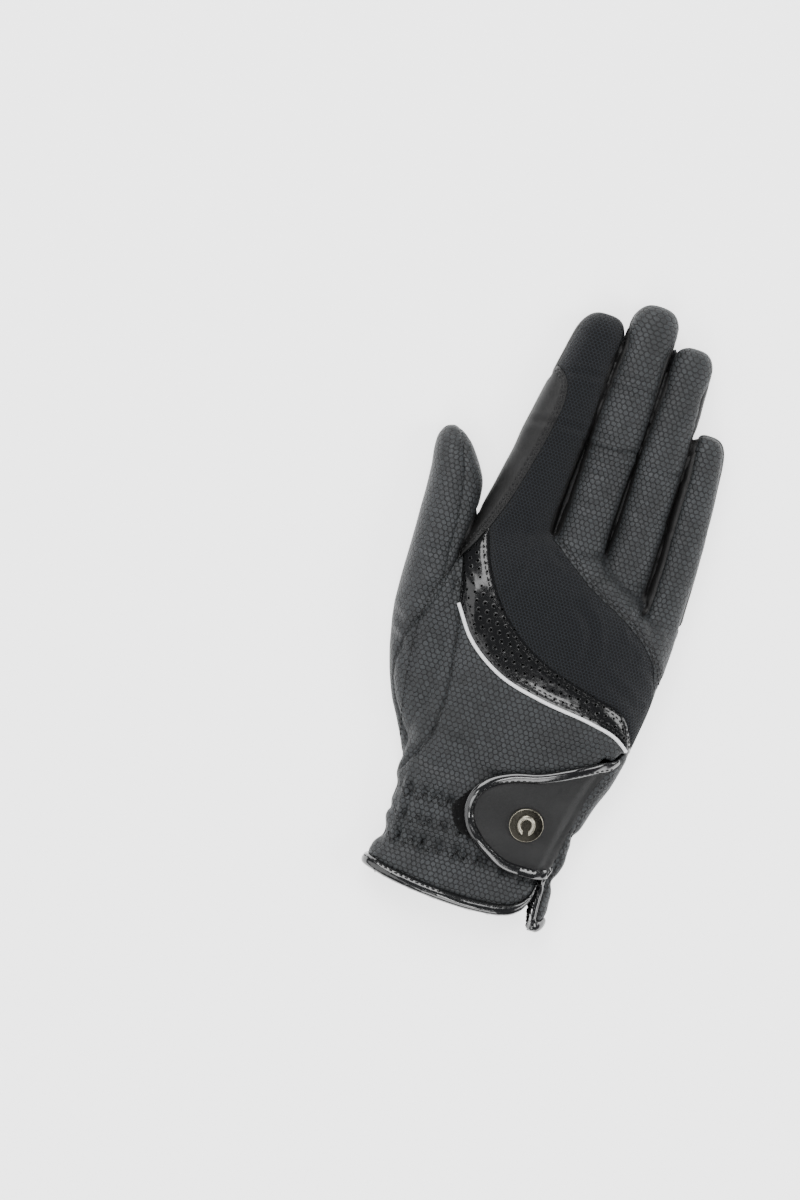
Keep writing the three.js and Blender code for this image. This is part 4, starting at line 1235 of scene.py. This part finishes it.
def knitted_mesh(settings):
    """Near-black knit with rows of small open cells, painted near-black inside as their shade."""
    material, tree, shader = new_material("mesh_fabric")
    place = pattern_place(tree, settings.mesh_cell / MM, 0.1)
    reach = vector_math(tree, "LENGTH", hexagon_cells(tree, place))
    thread = ramp_between(tree, reach, 0.3, 0.52)
    height = maths(tree, "MULTIPLY_ADD", slanted_bands(tree, place, 7.0, 1.5), 0.25, thread)
    bump(tree, shader, height, 0.3, 0.9)
    # The open cells between the threads get painted shade, near-black.
    colour = mix_colours(tree, thread, KNIT_HOLE_SHADE, tint(settings.mesh_colour))
    put(tree, shader, Base_Color=colour, Roughness=0.8, Specular_IOR_Level=0.26, Sheen_Weight=0.05,
        Sheen_Roughness=0.5)
    return material


def patent_leather(name, colour, hole_cell=None):
    """Glossy lacquered leather, with pin holes where a cell size is given, painted darker inside as their
    shade.
    """
    material, tree, shader = new_material(name)
    put(tree, shader, Base_Color=tint(colour), Roughness=0.2, Coat_Weight=0.9, Coat_Roughness=0.09)
    waves = surface_noise(tree, 5.5, 2.0, 0.5)
    ripple = surface_noise(tree, 1.6, 2.0, 0.5)
    height = maths(tree, "MULTIPLY_ADD", waves, 0.9, maths(tree, "MULTIPLY", ripple, 0.04))
    if hole_cell:
        reach = vector_math(tree, "LENGTH", hexagon_cells(tree, pattern_place(tree, hole_cell / MM)))
        rim = ramp_between(tree, reach, 0.1, 0.17)
        lip = ramp_between(tree, reach, 0.3, 0.2)
        height = maths(tree, "MULTIPLY_ADD", rim, 0.6, height)
        height = maths(tree, "MULTIPLY_ADD", lip, 0.16, height)
        # Inside the pin holes the colour is painted shade, darker than the patent.
        put(tree, shader, Coat_Weight=maths(tree, "MULTIPLY", rim, 0.5),
            Specular_IOR_Level=maths(tree, "MULTIPLY", rim, 0.36),
            Base_Color=mix_colours(tree, rim, PIN_HOLE_SHADE, tint(colour)))
    bump(tree, shader, height, 0.4, 0.7)
    return material


def twisted_cord(name, colour, pitch, wobble, shade, **surface):
    """Cord or thread with a fine slanted twist."""
    material, tree, shader = new_material(name)
    twist = slanted_bands(tree, object_place(tree), 1 / (pitch * MM), wobble)
    bump(tree, shader, twist, 0.05, 0.6)
    put(tree, shader, Base_Color=mix_colours(tree, twist, tint(colour, shade), tint(colour)),
        Roughness=0.42, **surface)
    return material


def loop_pile():
    """Black pile of tiny loops."""
    material, tree, shader = new_material("loop_fabric")
    fuzz = surface_noise(tree, 0.5, 4.0, 0.8)
    bump(tree, shader, fuzz, 0.6, 1.0)
    colour = mix_colours(tree, ramp_between(tree, fuzz, 0.4, 0.75), tint(WHITE, 0.0004), tint(WHITE, 0.006))
    put(tree, shader, Base_Color=colour, Roughness=0.95, Specular_IOR_Level=0.15, Sheen_Weight=0.06)
    return material


def pewter(name, colour):
    """Warm grey cast metal."""
    material, tree, shader = new_material(name)
    brushed = surface_noise(tree, 0.9, 3.0, 0.6)
    bump(tree, shader, surface_noise(tree, 0.15, 2.0, 0.5), 0.02, 0.6)
    shade = mix_colours(tree, ramp_between(tree, brushed, 0.3, 0.75), tint(colour, 0.82), colour)
    rough = ramp_between(tree, brushed, 0.3, 0.7, 0.24, 0.4)
    put(tree, shader, Base_Color=shade, Roughness=rough, Metallic=1.0)
    return material


def finish(name):
    """The material of a finish, made once."""
    settings = bpy.context.scene.glove_colours
    makers = {
        "hex_leather": lambda: embossed_leather(settings),
        "smooth_leather": lambda: plain_leather(name, settings.smooth_colour, 0.52),
        "tab_leather": lambda: plain_leather(name, settings.tab_colour, 0.56),
        "mesh_fabric": lambda: knitted_mesh(settings),
        "patent_leather": lambda: patent_leather(name, settings.patent_colour),
        "perforated_patent": lambda: patent_leather(name, settings.patent_colour, settings.perforation),
        "white_satin": lambda: twisted_cord(name, settings.piping_colour, 1.4, 0.6, 0.86, Sheen_Weight=0.25),
        "sewing_thread": lambda: twisted_cord(name, settings.thread_colour, 0.9, 0.3, 0.6,
                                              Specular_IOR_Level=0.4),
        "loop_fabric": loop_pile,
        "badge_metal": lambda: pewter(name, tint(settings.badge_colour)),
        "badge_hollow": lambda: pewter(name, tint(settings.badge_colour, HOLLOW_SHADE)),
    }
    if name not in store["finishes"]:
        store["finishes"][name] = makers[name]()
    return store["finishes"][name]


def dress(item, material, slot, *nodes):
    """Gives a finished piece its material and its place in the frame, hides the imported parts it stands for
    and counts them as made.
    """
    item.data.materials.clear()
    item.data.materials.append(finish(material))
    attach(item, "root")
    if nodes:
        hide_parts(*nodes)
    store["made"].update(nodes or [item.name])


# Panels

def flat_pattern(points, normals, triangles):
    """Flat millimetre coordinates of a panel: across and along the glove, with as little stretch as fits."""
    a, b = np.unique(np.sort(edges_of(triangles), 1), axis=0).T
    span = points[b] - points[a]
    lengthwise = unit(np.array([0, 1.0, 0]) - normals * normals[:, 1:2], 0.05)
    crosswise = np.cross(lengthwise, normals)
    weight = 1 / np.maximum((span ** 2).sum(1), 0.03)
    count = len(points)
    degree = np.bincount(a, weight, count) + np.bincount(b, weight, count)

    def gathered(flow):
        return np.bincount(b, flow, count) - np.bincount(a, flow, count)

    def spread(values):
        return gathered(weight * (values[b] - values[a]))

    flat = []
    for way, start in ((crosswise, points[:, 0]), (lengthwise, points[:, 1])):
        value = start.copy()
        left = gathered(weight * ((way[a] + way[b]) / 2 * span).sum(1)) - spread(value)
        eased = left / degree
        step = eased.copy()
        energy = left @ eased
        for _ in range(PATTERN_ROUNDS):
            moved = spread(step)
            share = energy / max(step @ moved, 1e-12)
            value += share * step
            left -= share * moved
            eased = left / degree
            fresh = left @ eased
            if fresh < 1e-5:
                break
            step = eased + fresh / energy * step
            energy = fresh
        flat.append(value)
    return np.stack(flat, 1)


def calm_normals(points, triangles):
    """Vertex normals evened out over their neighbours."""
    normals = vertex_normals(points, triangles)
    edges = edges_of(triangles)
    for _ in range(3):
        total = normals.copy()
        np.add.at(total, edges[:, 0], normals[edges[:, 1]])
        np.add.at(total, edges[:, 1], normals[edges[:, 0]])
        normals = unit(total)
    return normals


def rim_edges(triangles):
    """The edges with one triangle, in the triangle's own order."""
    edges = edges_of(triangles)
    keys = np.sort(edges, 1)
    keys = keys[:, 0] * (triangles.max() + 1) + keys[:, 1]
    first, count = np.unique(keys, return_index=True, return_counts=True)[1:]
    return edges[first[count == 1]]


def sheet_object(name, outer, inner, triangles, uv):
    """A closed sheet between two skins, with its flat pattern on both."""
    count = len(outer)
    a, b = rim_edges(triangles).T
    sides = np.concatenate([np.stack([b, a, a + count], 1), np.stack([b, a + count, b + count], 1)])
    whole = np.concatenate([triangles, triangles[:, ::-1] + count, sides])
    points = np.concatenate([outer, inner])
    points[:, 2] = np.maximum(points[:, 2], 0.03)
    item = triangle_object(name, points, whole)
    layer = item.data.uv_layers.new(name="pattern")
    flat = np.concatenate([uv, uv])[whole.ravel()]
    layer.uv.foreach_set("vector", flat.astype(np.float32).ravel())
    return item


def smooth_shade(item, angle=50):
    activate(item)
    bpy.ops.object.shade_smooth_by_angle(angle=math.radians(angle))


def make_panel(name, index):
    """One panel of the hide as a closed sheet, lifted by its lap."""
    lap, panel_finish = PANELS[name]
    chosen = store["triangles"][store["label"] == index]
    if not len(chosen):
        raise RuntimeError(f"no leather for {name}")
    used, local = used_points(chosen)
    thick = bpy.context.scene.glove_sizes.hide / MM
    lift = np.full(len(used), lap)
    if name == "cuff_binding":
        share = np.clip(store["fields"]["hem"][used] / BINDING_WIDTH, 0, 1)
        lift = 0.15 + 0.6 * np.sqrt(np.clip(1 - (2 * share - 1) ** 2, 0, 1))
        thick *= 1.5
    normals = store["calm"][used]
    outer = store["points"][used] + normals * lift[:, None]
    patterned = panel_finish in ("hex_leather", "mesh_fabric") or name == "patent_band"
    uv = flat_pattern(outer, normals, local) if patterned else outer[:, :2]
    item = sheet_object(name, outer, outer - normals * thick, local, uv)
    store["cover"].append((outer, local))
    smooth_shade(item)
    slot = "smooth_leather" if name == "thumb_inner_strip" else panel_finish
    dress(item, "perforated_patent" if name == "patent_band" else panel_finish, slot, name)


# Trims laid over the panels

def cover_tree():
    """All the panels' outer faces, to find the surface a trim lies on."""
    points, triangles, offset = [], [], 0
    for outer, local in store["cover"]:
        points.append(outer)
        triangles.append(local + offset)
        offset += len(outer)
    points, triangles = np.concatenate(points), np.concatenate(triangles)
    store["cover_tree"] = BVHTree.FromPolygons(points.tolist(), triangles.tolist())


def touch(x, y, side=1):
    """Place and normal of the surface straight below a plan place, or straight above it for the palm side."""
    start = Vector((x, y, 60.0 * side))
    hit, normal = store["cover_tree"].ray_cast(start, Vector((0, 0, -side)))[:2]
    return None if hit is None else (np.array(hit), np.array(normal))


def back_height(x, y):
    """Height of the bare back of the hand, without its folds."""
    x0, x1, z0, z1 = hand_section(y / PALM_LENGTH * 100)[0]
    split = z0 + (z1 - z0) * WIDEST
    share = np.clip(np.abs(x - (x0 + x1) / 2) / ((x1 - x0) / 2), 0, 0.985)
    return split + (z1 - split) * (1 - share ** HAND_SQUARENESS) ** (1 / HAND_SQUARENESS)


def sweep(name, rings):
    """A tube through rings of points, with flat ends."""
    item = new_object(name, *loft(rings))
    turn_outward(item)
    return item


def make_piping():
    """The round white cord in the seam below the band."""
    low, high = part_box("white_piping")
    left, right = low[0] / MM - SHIFT[0] + 0.4, high[0] / MM - SHIFT[0] - 1.9
    line = spline(store["seams"]["piping"], 260)
    line = line[(line[:, 0] > left) & (line[:, 0] < right)]
    found = [touch(x, y) for x, y in line]
    path = np.array([place[0] for place in found if place is not None])
    bare = back_height(path[:, 0], path[:, 1])
    path[:, 2] = np.maximum(path[:, 2], np.minimum(bare - 0.1, path[:, 2] + 1.5))
    for _ in range(4):
        path[1:-1, 2] = np.maximum(path[1:-1, 2], (path[:-2, 2] + path[2:, 2]) / 2)
    for _ in range(12):
        path[1:-1] = (path[:-2] + path[1:-1] * 2 + path[2:]) / 4
    steps = unit(np.gradient(path, axis=0))
    over = unit(np.cross(np.array([0, 0, 1.0]), steps))
    up = np.cross(steps, over)
    turn = np.linspace(0, 2 * np.pi, 18, endpoint=False)[:, None]
    rings = []
    for place, side, rise in zip(path, over, up):
        rings.append(place + rise * PIPING_RISE + PIPING_RADIUS * (np.cos(turn) * side + np.sin(turn) * rise))
    item = sweep("white_piping", rings)
    smooth_shade(item)
    dress(item, "white_satin", "white_satin", "white_piping")


def on_tab(root, out):
    """A plan place from shares of the tab's root and reach."""
    lean = math.radians(TAB_LEAN)
    foot = np.array([across(TAB_FOOT[0]), along(TAB_FOOT[1])])
    root_way = np.array([math.sin(lean), math.cos(lean)])
    out_way = np.array([-math.cos(lean), math.sin(lean)])
    return foot + np.multiply.outer(root, root_way) * TAB_ROOT + np.multiply.outer(out, out_way) * TAB_REACH


def standing(flat, height):
    """Points in space from plan places and their heights."""
    return np.stack([flat[:, 0], flat[:, 1], height], 1)


def tab_underside(x, y):
    """Height of the tab's underside, which comes up out of the slit and over the wrist."""
    vent = store["seams"]["vent"]
    distance = np.interp(y, vent[:, 1], vent[:, 0]) - x
    rise = np.interp(distance, TAB_RISE[:, 0], TAB_RISE[:, 1])
    return back_height(x, y) + rise


def rim_of_tab(count):
    places = np.array(TAB_OUTLINE)
    return spline(on_tab(places[:, 0], places[:, 1]), count)


def grid_triangles(columns, rows):
    a = (np.arange(rows - 1)[:, None] * columns + np.arange(columns - 1)).ravel()
    lower = np.stack([a, a + 1, a + columns + 1], 1)
    return np.concatenate([lower, np.stack([a, a + columns + 1, a + columns], 1)])


def inside_outline(points, outline):
    """Distance inside a closed plan outline, negative outside it."""
    closed = np.concatenate([outline, outline[:1]])
    away = np.abs(signed_distance(points, closed))
    x, y = points.T
    inside = np.zeros(len(points), bool)
    for (x0, y0), (x1, y1) in zip(closed[:-1], closed[1:]):
        crosses = (y0 > y) != (y1 > y)
        if y1 != y0:
            inside ^= crosses & (x < (x1 - x0) * (y - y0) / (y1 - y0) + x0)
    return np.where(inside, away, -away)


def cut_sheet(outline, pitch):
    """A fine flat sheet of triangles cut to a closed outline: its plan, triangles and distance to the rim."""
    low, high = outline.min(0) - 1.5, outline.max(0) + 1.5
    columns, rows = [int((high[k] - low[k]) / pitch) + 2 for k in range(2)]
    x, y = np.meshgrid(low[0] + pitch * np.arange(columns), low[1] + pitch * np.arange(rows))
    flat = np.stack([x.ravel(), y.ravel(), np.zeros(x.size)], 1)
    fields = {"rim": inside_outline(flat[:, :2], outline)}
    flat, triangles = split_at_zero(flat, grid_triangles(columns, rows), fields, "rim")
    rim = fields["rim"]
    used, local = used_points(triangles[rim[triangles].sum(1) > 0])
    return flat[used][:, :2], local, rim[used]


def make_tab():
    """The satin-smooth closure tab."""
    flat, triangles, rim = cut_sheet(rim_of_tab(400), 0.8)
    used, triangles = used_points(triangles[rim[triangles].min(1) > TAB_INSIDE_BINDING])
    flat, rim = flat[used], rim[used]
    under = tab_underside(flat[:, 0], flat[:, 1])
    wave = 0.3 * lattice_noise(standing(flat, under), 12.0, 8) * smoothstep(3, 9, rim)
    inner = standing(flat, under + wave)
    outer = inner + [0, 0, TAB_THICKNESS]
    outer[:, 2] -= 0.25 * np.exp(-((rim - 4.3) / 0.9) ** 2)
    item = sheet_object("closure_tab", outer, inner, triangles, flat - flat.mean(0))
    smooth_shade(item)
    dress(item, "tab_leather", "tab_leather", "closure_tab")
    store["tab_face"] = BVHTree.FromPolygons(outer.tolist(), triangles.tolist())


def make_tab_binding():
    """Patent binding folded round the rim of the tab."""
    outline = rim_of_tab(300)
    inward = sideways(outline)
    if ((outline.mean(0) - outline) * inward).sum(1).mean() < 0:
        inward = -inward
    depths, heights = np.array(BINDING_PROFILE).T
    places = (outline[:, None] + inward[:, None] * depths[:, None]).reshape(-1, 2)
    under = tab_underside(places[:, 0], places[:, 1]).reshape(len(outline), -1)
    rings = standing(places, (under + heights).ravel()).reshape(len(outline), -1, 3)
    item = sweep("tab_binding", list(rings))
    smooth_shade(item, 60)
    dress(item, "patent_leather", "patent_leather", "tab_binding")
    row = outline + inward * 3.15
    store["tab_row"] = standing(row, tab_underside(row[:, 0], row[:, 1]) + 2.0)


def make_patch():
    """The fuzzy loop patch that the tab closes on, showing past its round end."""
    angle = np.linspace(0, 2 * np.pi, 180, endpoint=False)
    turn = math.radians(14)
    rough = 1 + 0.012 * np.sin(angle * 37) + 0.01 * np.sin(angle * 61 + 1)
    x, y = 17 * np.cos(angle) * rough, 11.5 * np.sin(angle) * rough
    turned = [x * math.cos(turn) - y * math.sin(turn), x * math.sin(turn) + y * math.cos(turn)]
    flat, triangles, rim = cut_sheet(on_tab(*PATCH_SPOT) + np.stack(turned, 1), 0.45)
    base = back_height(flat[:, 0], flat[:, 1])
    spots = standing(flat, base)
    fuzz = 0.22 * lattice_noise(spots, 0.7, 4) + 0.18 * lattice_noise(spots, 1.5, 6)
    rounding = np.minimum(1, rim / 0.9) ** 0.5
    outer = standing(flat, base + 0.35 + (0.75 + fuzz) * rounding)
    item = sheet_object("loop_patch", outer, standing(flat, base - 0.1), triangles, flat - flat.mean(0))
    smooth_shade(item)
    dress(item, "loop_fabric", "loop_fabric", "loop_patch")


def settle():
    """Writes the active piece's place, turn and size into its mesh."""
    bpy.ops.object.transform_apply(location=True, rotation=True, scale=True)
    return bpy.context.active_object


def horseshoe():
    """A flattened ring opened by a wedge."""
    deselect()
    bpy.ops.mesh.primitive_torus_add(major_radius=2.9 * MM, minor_radius=0.95 * MM, major_segments=72,
                                     minor_segments=14, location=(0, 0, 1.25 * MM))
    bpy.ops.transform.resize(value=(0.92, 1.1, 0.85))
    shoe = settle()
    deselect()
    bpy.ops.mesh.primitive_cube_add(size=1.0, location=(0, -3.4 * MM, 1.2 * MM))
    bpy.ops.transform.resize(value=(2.3 * MM, 3.6 * MM, 4 * MM))
    combine(shoe, settle(), "DIFFERENCE")
    return shoe


def combine(item, other, operation):
    apply_modifier(item, "BOOLEAN", object=other, operation=operation, solver="EXACT")
    bpy.data.objects.remove(other)


def make_badge():
    """A small cast disc with a raised rim and a plain horseshoe on it."""
    deselect()
    bpy.ops.mesh.primitive_cylinder_add(vertices=96, radius=BADGE_RADIUS * MM,
                                        depth=BADGE_DEPTH * MM, location=(0, 0, BADGE_DEPTH / 2 * MM))
    badge = settle()
    badge.name = "badge"
    for polygon in badge.data.polygons:
        polygon.select = polygon.normal.z > 0.9
    bpy.ops.object.mode_set(mode="EDIT")
    bpy.ops.mesh.select_mode(type="FACE")
    bpy.ops.mesh.inset(thickness=1.35 * MM)
    bpy.ops.transform.translate(value=(0, 0, -0.6 * MM))
    bpy.ops.mesh.inset(thickness=0.25 * MM)
    bpy.ops.object.mode_set(mode="OBJECT")
    apply_modifier(badge, "BEVEL", width=0.22 * MM, segments=3, limit_method="ANGLE")
    combine(badge, horseshoe(), "UNION")
    hollow = np.array([face.center.z < 1.28 * MM and face.normal.z > 0.7 and face.center.xy.length < 5.2 * MM
                       for face in badge.data.polygons])

    spot = on_tab(*BADGE_SPOT)
    heights = {}
    for way in ((0, 0), (4, 0), (-4, 0), (0, 4), (0, -4)):
        above_spot = Vector((spot[0] + way[0], spot[1] + way[1], 60))
        heights[way] = store["tab_face"].ray_cast(above_spot, Vector((0, 0, -1)))[0].z
    along_x = Vector((8, 0, heights[(4, 0)] - heights[(-4, 0)])).normalized()
    along_y = Vector((0, 8, heights[(0, 4)] - heights[(0, -4)])).normalized()
    turn = along_x.cross(along_y).normalized().to_track_quat("Z", "Y").to_matrix().to_4x4()
    lean = Matrix.Rotation(math.radians(-TAB_LEAN), 4, "Z")
    level = (heights[(0, 0)] + max(heights.values())) / 2
    place = to_frame([spot[0], spot[1], level - 0.1])
    badge.data.transform(Matrix.Translation(Vector(place)) @ turn @ lean)
    smooth_shade(badge, 32)
    dress(badge, "badge_metal", "badge_metal", "badge")
    badge.data.materials.append(finish("badge_hollow"))
    badge.data.polygons.foreach_set("material_index", hollow.astype(np.int32))


# Stitches

def stitched_line(line, offset, side, low, high):
    """Spans of stitches along a plan line moved sideways, laid on the leather."""
    moved = spline(line + sideways(line) * offset, len(line) * 3)
    moved = moved[(moved[:, 1] > low) & (moved[:, 1] < high)]
    runs = [[]]
    for x, y in moved:
        found = touch(x, y, side)
        steep = found is None or found[1][2] * side < STEEPEST_STITCH
        if steep or runs[-1] and np.linalg.norm(found[0] - runs[-1][-1][0]) > LONGEST_JUMP:
            runs.append([])
        if not steep:
            runs[-1].append(found)
    return [span for run in runs if len(run) > 3 for span in spans_along(*map(np.array, zip(*run)))]


def spans_along(path, ups):
    """Even spans of stitches along a path in space."""
    run = run_along(path)

    def at_distance(values, distance):
        return np.array([np.interp(distance, run, column) for column in values.T])

    spans = []
    for k in range(int((run[-1] - STITCH_LENGTH) / STITCH_PITCH) + 1):
        start = k * STITCH_PITCH + 0.3
        ends = [at_distance(path, start + t * STITCH_LENGTH) for t in (0, 0.5, 1)]
        spans.append((*ends, unit(at_distance(ups, start + STITCH_LENGTH / 2))))
    return spans


def thread_object(name, spans):
    """Small rounded stitches, each dipping into the leather at its ends but not below the table."""
    turn = np.linspace(0, 2 * np.pi, 6, endpoint=False)[:, None]
    stitches = []
    for start, middle, end, up in spans:
        way = unit(end - start, 1e-9)
        over = unit(np.cross(up, way), 1e-9)
        rise = np.cross(way, over)
        rings = []
        for t, girth, drop in STITCH_PROFILE:
            centre = start * (1 - t) ** 2 + (2 * middle - (start + end) / 2) * 2 * t * (1 - t) + end * t * t
            radius = girth * THREAD_RADIUS
            rings.append(centre + rise * drop + radius * (np.cos(turn) * over + np.sin(turn) * rise))
        points, faces = loft(rings)
        points[:, 2] -= min(0.0, points[:, 2].min())
        stitches.append((points, faces))
    item = new_object(name, *joined(stitches))
    turn_outward(item)
    smooth_shade(item, 80)
    return item


def make_stitches():
    """All the rows of stitches, a piece for each group of them."""
    seams = store["seams"]
    groups = {}
    for name, group, offsets, side, low, high in STITCHED:
        line = spline(seams[name], 160)
        line = line if line[0][1] < line[-1][1] else line[::-1]
        for offset in offsets:
            groups.setdefault(group, []).extend(stitched_line(line, offset, side, low, high))
    groups["elastic_stitches"] = [span for row in ELASTIC_ROWS for span in zigzag(row)]
    groups["tab_stitches"] = spans_along(store["tab_row"], np.tile([0, 0, 1.0], (len(store["tab_row"]), 1)))
    for group, spans in groups.items():
        dress(thread_object(group, spans), "sewing_thread", "smooth_leather")


def zigzag(row):
    """Slanting stitches of a row of wrist elastic."""
    spans = []
    tab = rim_of_tab(120)
    x, up = -44.0, True
    while x < 22:
        ends = [touch(here, row + (ZIG_HEIGHT if high else -ZIG_HEIGHT) + 0.05 * here)
                for here, high in ((x, up), (x + ZIG, not up))]
        x, up = x + ZIG, not up
        if None in ends or min(end[1][2] for end in ends) < 0.15:
            continue
        start, end = ends[0][0], ends[1][0]
        if inside_outline(np.array([start[:2], end[:2]]), tab).max() > -0.3:
            continue
        for a, b in ((0.06, 0.46), (0.54, 0.94)):
            found = [touch(*(start + (end - start) * share)[:2]) for share in (a, (a + b) / 2, b)]
            if None not in found:
                spans.append((found[0][0], found[1][0], found[2][0], found[1][1]))
    return spans


# Stage

def build_stage():
    """A pale table, soft lights and the camera straight above the glove."""
    settings = bpy.context.scene.glove_stage
    bpy.ops.mesh.primitive_plane_add(size=TABLE_SIZE, location=(0, 0, 0))
    table = bpy.context.active_object
    table.name = "table"
    material, tree, shader = new_material("table_paint")
    put(tree, shader, Base_Color=tint(WHITE, 0.9), Roughness=0.9, Specular_IOR_Level=0.1,
        Emission_Color=tint(WHITE), Emission_Strength=settings.table_glow)
    table.data.materials.append(material)
    for name, place, size in LIGHTS:
        bpy.ops.object.light_add(type="AREA", location=place)
        light = bpy.context.active_object
        light.name = name + "_light"
        light.data.size = size
        light.data.energy = getattr(settings, name + "_power")
        light.rotation_euler = (-Vector(place)).to_track_quat("-Z", "Y").to_euler()
    world = bpy.data.worlds.new("studio")
    world.use_nodes = True
    put(world.node_tree, world.node_tree.nodes["Background"], i0=SKY_COLOUR, i1=settings.sky)
    bpy.context.scene.world = world
    middle = to_frame(CAMERA_SPOT)
    bpy.ops.object.camera_add(location=(middle[0], middle[1], CAMERA_HEIGHT),
                              rotation=(0, 0, math.radians(CAMERA_TURN)))
    camera = bpy.context.active_object
    camera.data.lens = 85
    camera.data.sensor_width = 36
    camera.data.clip_end = 10
    bpy.context.scene.camera = camera


def size_setting(name, text, value, **limits):
    return bpy.props.FloatProperty(name=name, description=text, default=value, unit="LENGTH", precision=4,
                                   **limits)


def colour_setting(name, text, value):
    return bpy.props.FloatVectorProperty(name=name, description="Colour of the " + text, subtype="COLOR",
                                         size=4, default=value)


def power_setting(name, text, value):
    return bpy.props.FloatProperty(name=name, description="Power of the " + text, default=value, unit="POWER")


class GloveSizes(bpy.types.PropertyGroup):
    hide: size_setting("Leather", "Thickness of the leather", 0.0012, min=0.0005, max=0.003)
    relief: bpy.props.FloatProperty(name="Creases", description="How deep the folds and creases go",
                                    default=1.0, min=0.0, max=2.0)


class GloveColours(bpy.types.PropertyGroup):
    hexagon: size_setting("Hexagons", "Width of a pressed hexagon", 0.0021)
    mesh_cell: size_setting("Knit", "Width of a cell of the knit", 0.0013)
    perforation: size_setting("Pin holes", "Spacing of the pin holes", 0.0034)
    hide_colour: colour_setting("Pressed leather", "pressed leather", (0.0142, 0.0159, 0.0172, 1))
    smooth_colour: colour_setting("Plain leather", "plain leather", (0.0052, 0.0051, 0.0051, 1))
    tab_colour: colour_setting("Tab", "tab's face", (0.0054, 0.0055, 0.0056, 1))
    mesh_colour: colour_setting("Knit colour", "knit", (0.0138, 0.0172, 0.0222, 1))
    patent_colour: colour_setting("Patent", "patent leather", (0.002, 0.002, 0.0022, 1))
    piping_colour: colour_setting("Piping", "piping", (0.85, 0.85, 0.86, 1))
    thread_colour: colour_setting("Thread", "stitches", (0.0022, 0.0022, 0.0025, 1))
    badge_colour: colour_setting("Badge", "badge", (0.36, 0.335, 0.27, 1))


class GloveStage(bpy.types.PropertyGroup):
    key_power: power_setting("Key", "main light", 118.0)
    fill_power: power_setting("Fill", "fill light", 52.0)
    side_power: power_setting("Side", "light on the right", 46.0)
    near_power: power_setting("Near", "light at the cuff", 40.0)
    window_power: power_setting("Window", "small high light", 11.0)
    sky: bpy.props.FloatProperty(name="Sky", description="Strength of the light all around", default=0.22)
    table_glow: bpy.props.FloatProperty(name="Table", description="Glow of the table", default=1.8)


def need(kind, *names):
    """Stops when a piece that should be there hasn't been made."""
    for name in names:
        if name not in store["made"]:
            raise RuntimeError(f"{kind} needs {name}, which wasn't made")


class GLOVE_OT_panels(bpy.types.Operator):
    """Make the sewn panels of leather and knit"""
    bl_idname = "glove.panels"
    bl_label = "Panels"

    def execute(self, context):
        build_skin()
        for index, name in enumerate(PANELS):
            make_panel(name, index)
        need("the hide", *PANELS)
        return {"FINISHED"}


class GLOVE_OT_piping(bpy.types.Operator):
    """Lay the white cord into its seam"""
    bl_idname = "glove.piping"
    bl_label = "Piping"

    def execute(self, context):
        need("the piping", "patent_band", "lower_back_panel")
        cover_tree()
        make_piping()
        need("the back", "white_piping")
        return {"FINISHED"}


class GLOVE_OT_tab(bpy.types.Operator):
    """Make the closure tab with its binding and loop patch"""
    bl_idname = "glove.tab"
    bl_label = "Closure tab"

    def execute(self, context):
        make_patch()
        make_tab()
        make_tab_binding()
        need("the cuff", "loop_patch", "closure_tab", "tab_binding")
        return {"FINISHED"}


class GLOVE_OT_badge(bpy.types.Operator):
    """Cast the badge and set it on the tab"""
    bl_idname = "glove.badge"
    bl_label = "Badge"

    def execute(self, context):
        need("the badge", "closure_tab")
        make_badge()
        need("the tab", "badge")
        return {"FINISHED"}


class GLOVE_OT_stitches(bpy.types.Operator):
    """Sew the rows of stitches"""
    bl_idname = "glove.stitches"
    bl_label = "Stitches"

    def execute(self, context):
        need("the sewing", "tab_binding", "cuff_binding")
        make_stitches()
        return {"FINISHED"}


class GLOVE_OT_stage(bpy.types.Operator):
    """Add the table, the lights and the camera"""
    bl_idname = "glove.stage"
    bl_label = "Stage"

    def execute(self, context):
        build_stage()
        return {"FINISHED"}


class GLOVE_PT_sidebar(bpy.types.Panel):
    """Sizes, colours and steps of the glove"""
    bl_idname = "GLOVE_PT_sidebar"
    bl_label = "Riding glove"
    bl_space_type = "VIEW_3D"
    bl_region_type = "UI"
    bl_category = "Glove"

    def draw(self, context):
        for settings in (context.scene.glove_sizes, context.scene.glove_colours, context.scene.glove_stage):
            box = self.layout.box()
            for name in type(settings).__annotations__:
                box.prop(settings, name)
        steps = self.layout.column(align=True)
        for step in ("panels", "piping", "tab", "badge", "stitches", "stage"):
            steps.operator("glove." + step)


CLASSES = (GloveSizes, GloveColours, GloveStage, GLOVE_OT_panels, GLOVE_OT_piping, GLOVE_OT_tab,
           GLOVE_OT_badge, GLOVE_OT_stitches, GLOVE_OT_stage, GLOVE_PT_sidebar)


def register():
    for kind in CLASSES:
        bpy.utils.register_class(kind)
    bpy.types.Scene.glove_sizes = bpy.props.PointerProperty(type=GloveSizes)
    bpy.types.Scene.glove_colours = bpy.props.PointerProperty(type=GloveColours)
    bpy.types.Scene.glove_stage = bpy.props.PointerProperty(type=GloveStage)


def unregister():
    del bpy.types.Scene.glove_stage
    del bpy.types.Scene.glove_colours
    del bpy.types.Scene.glove_sizes
    for kind in reversed(CLASSES):
        bpy.utils.unregister_class(kind)


def main():
    register()
    bpy.ops.glove.panels()
    bpy.ops.glove.piping()
    bpy.ops.glove.tab()
    bpy.ops.glove.badge()
    bpy.ops.glove.stitches()
    bpy.ops.glove.stage()
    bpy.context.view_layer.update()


if __name__ == "__main__":
    main()
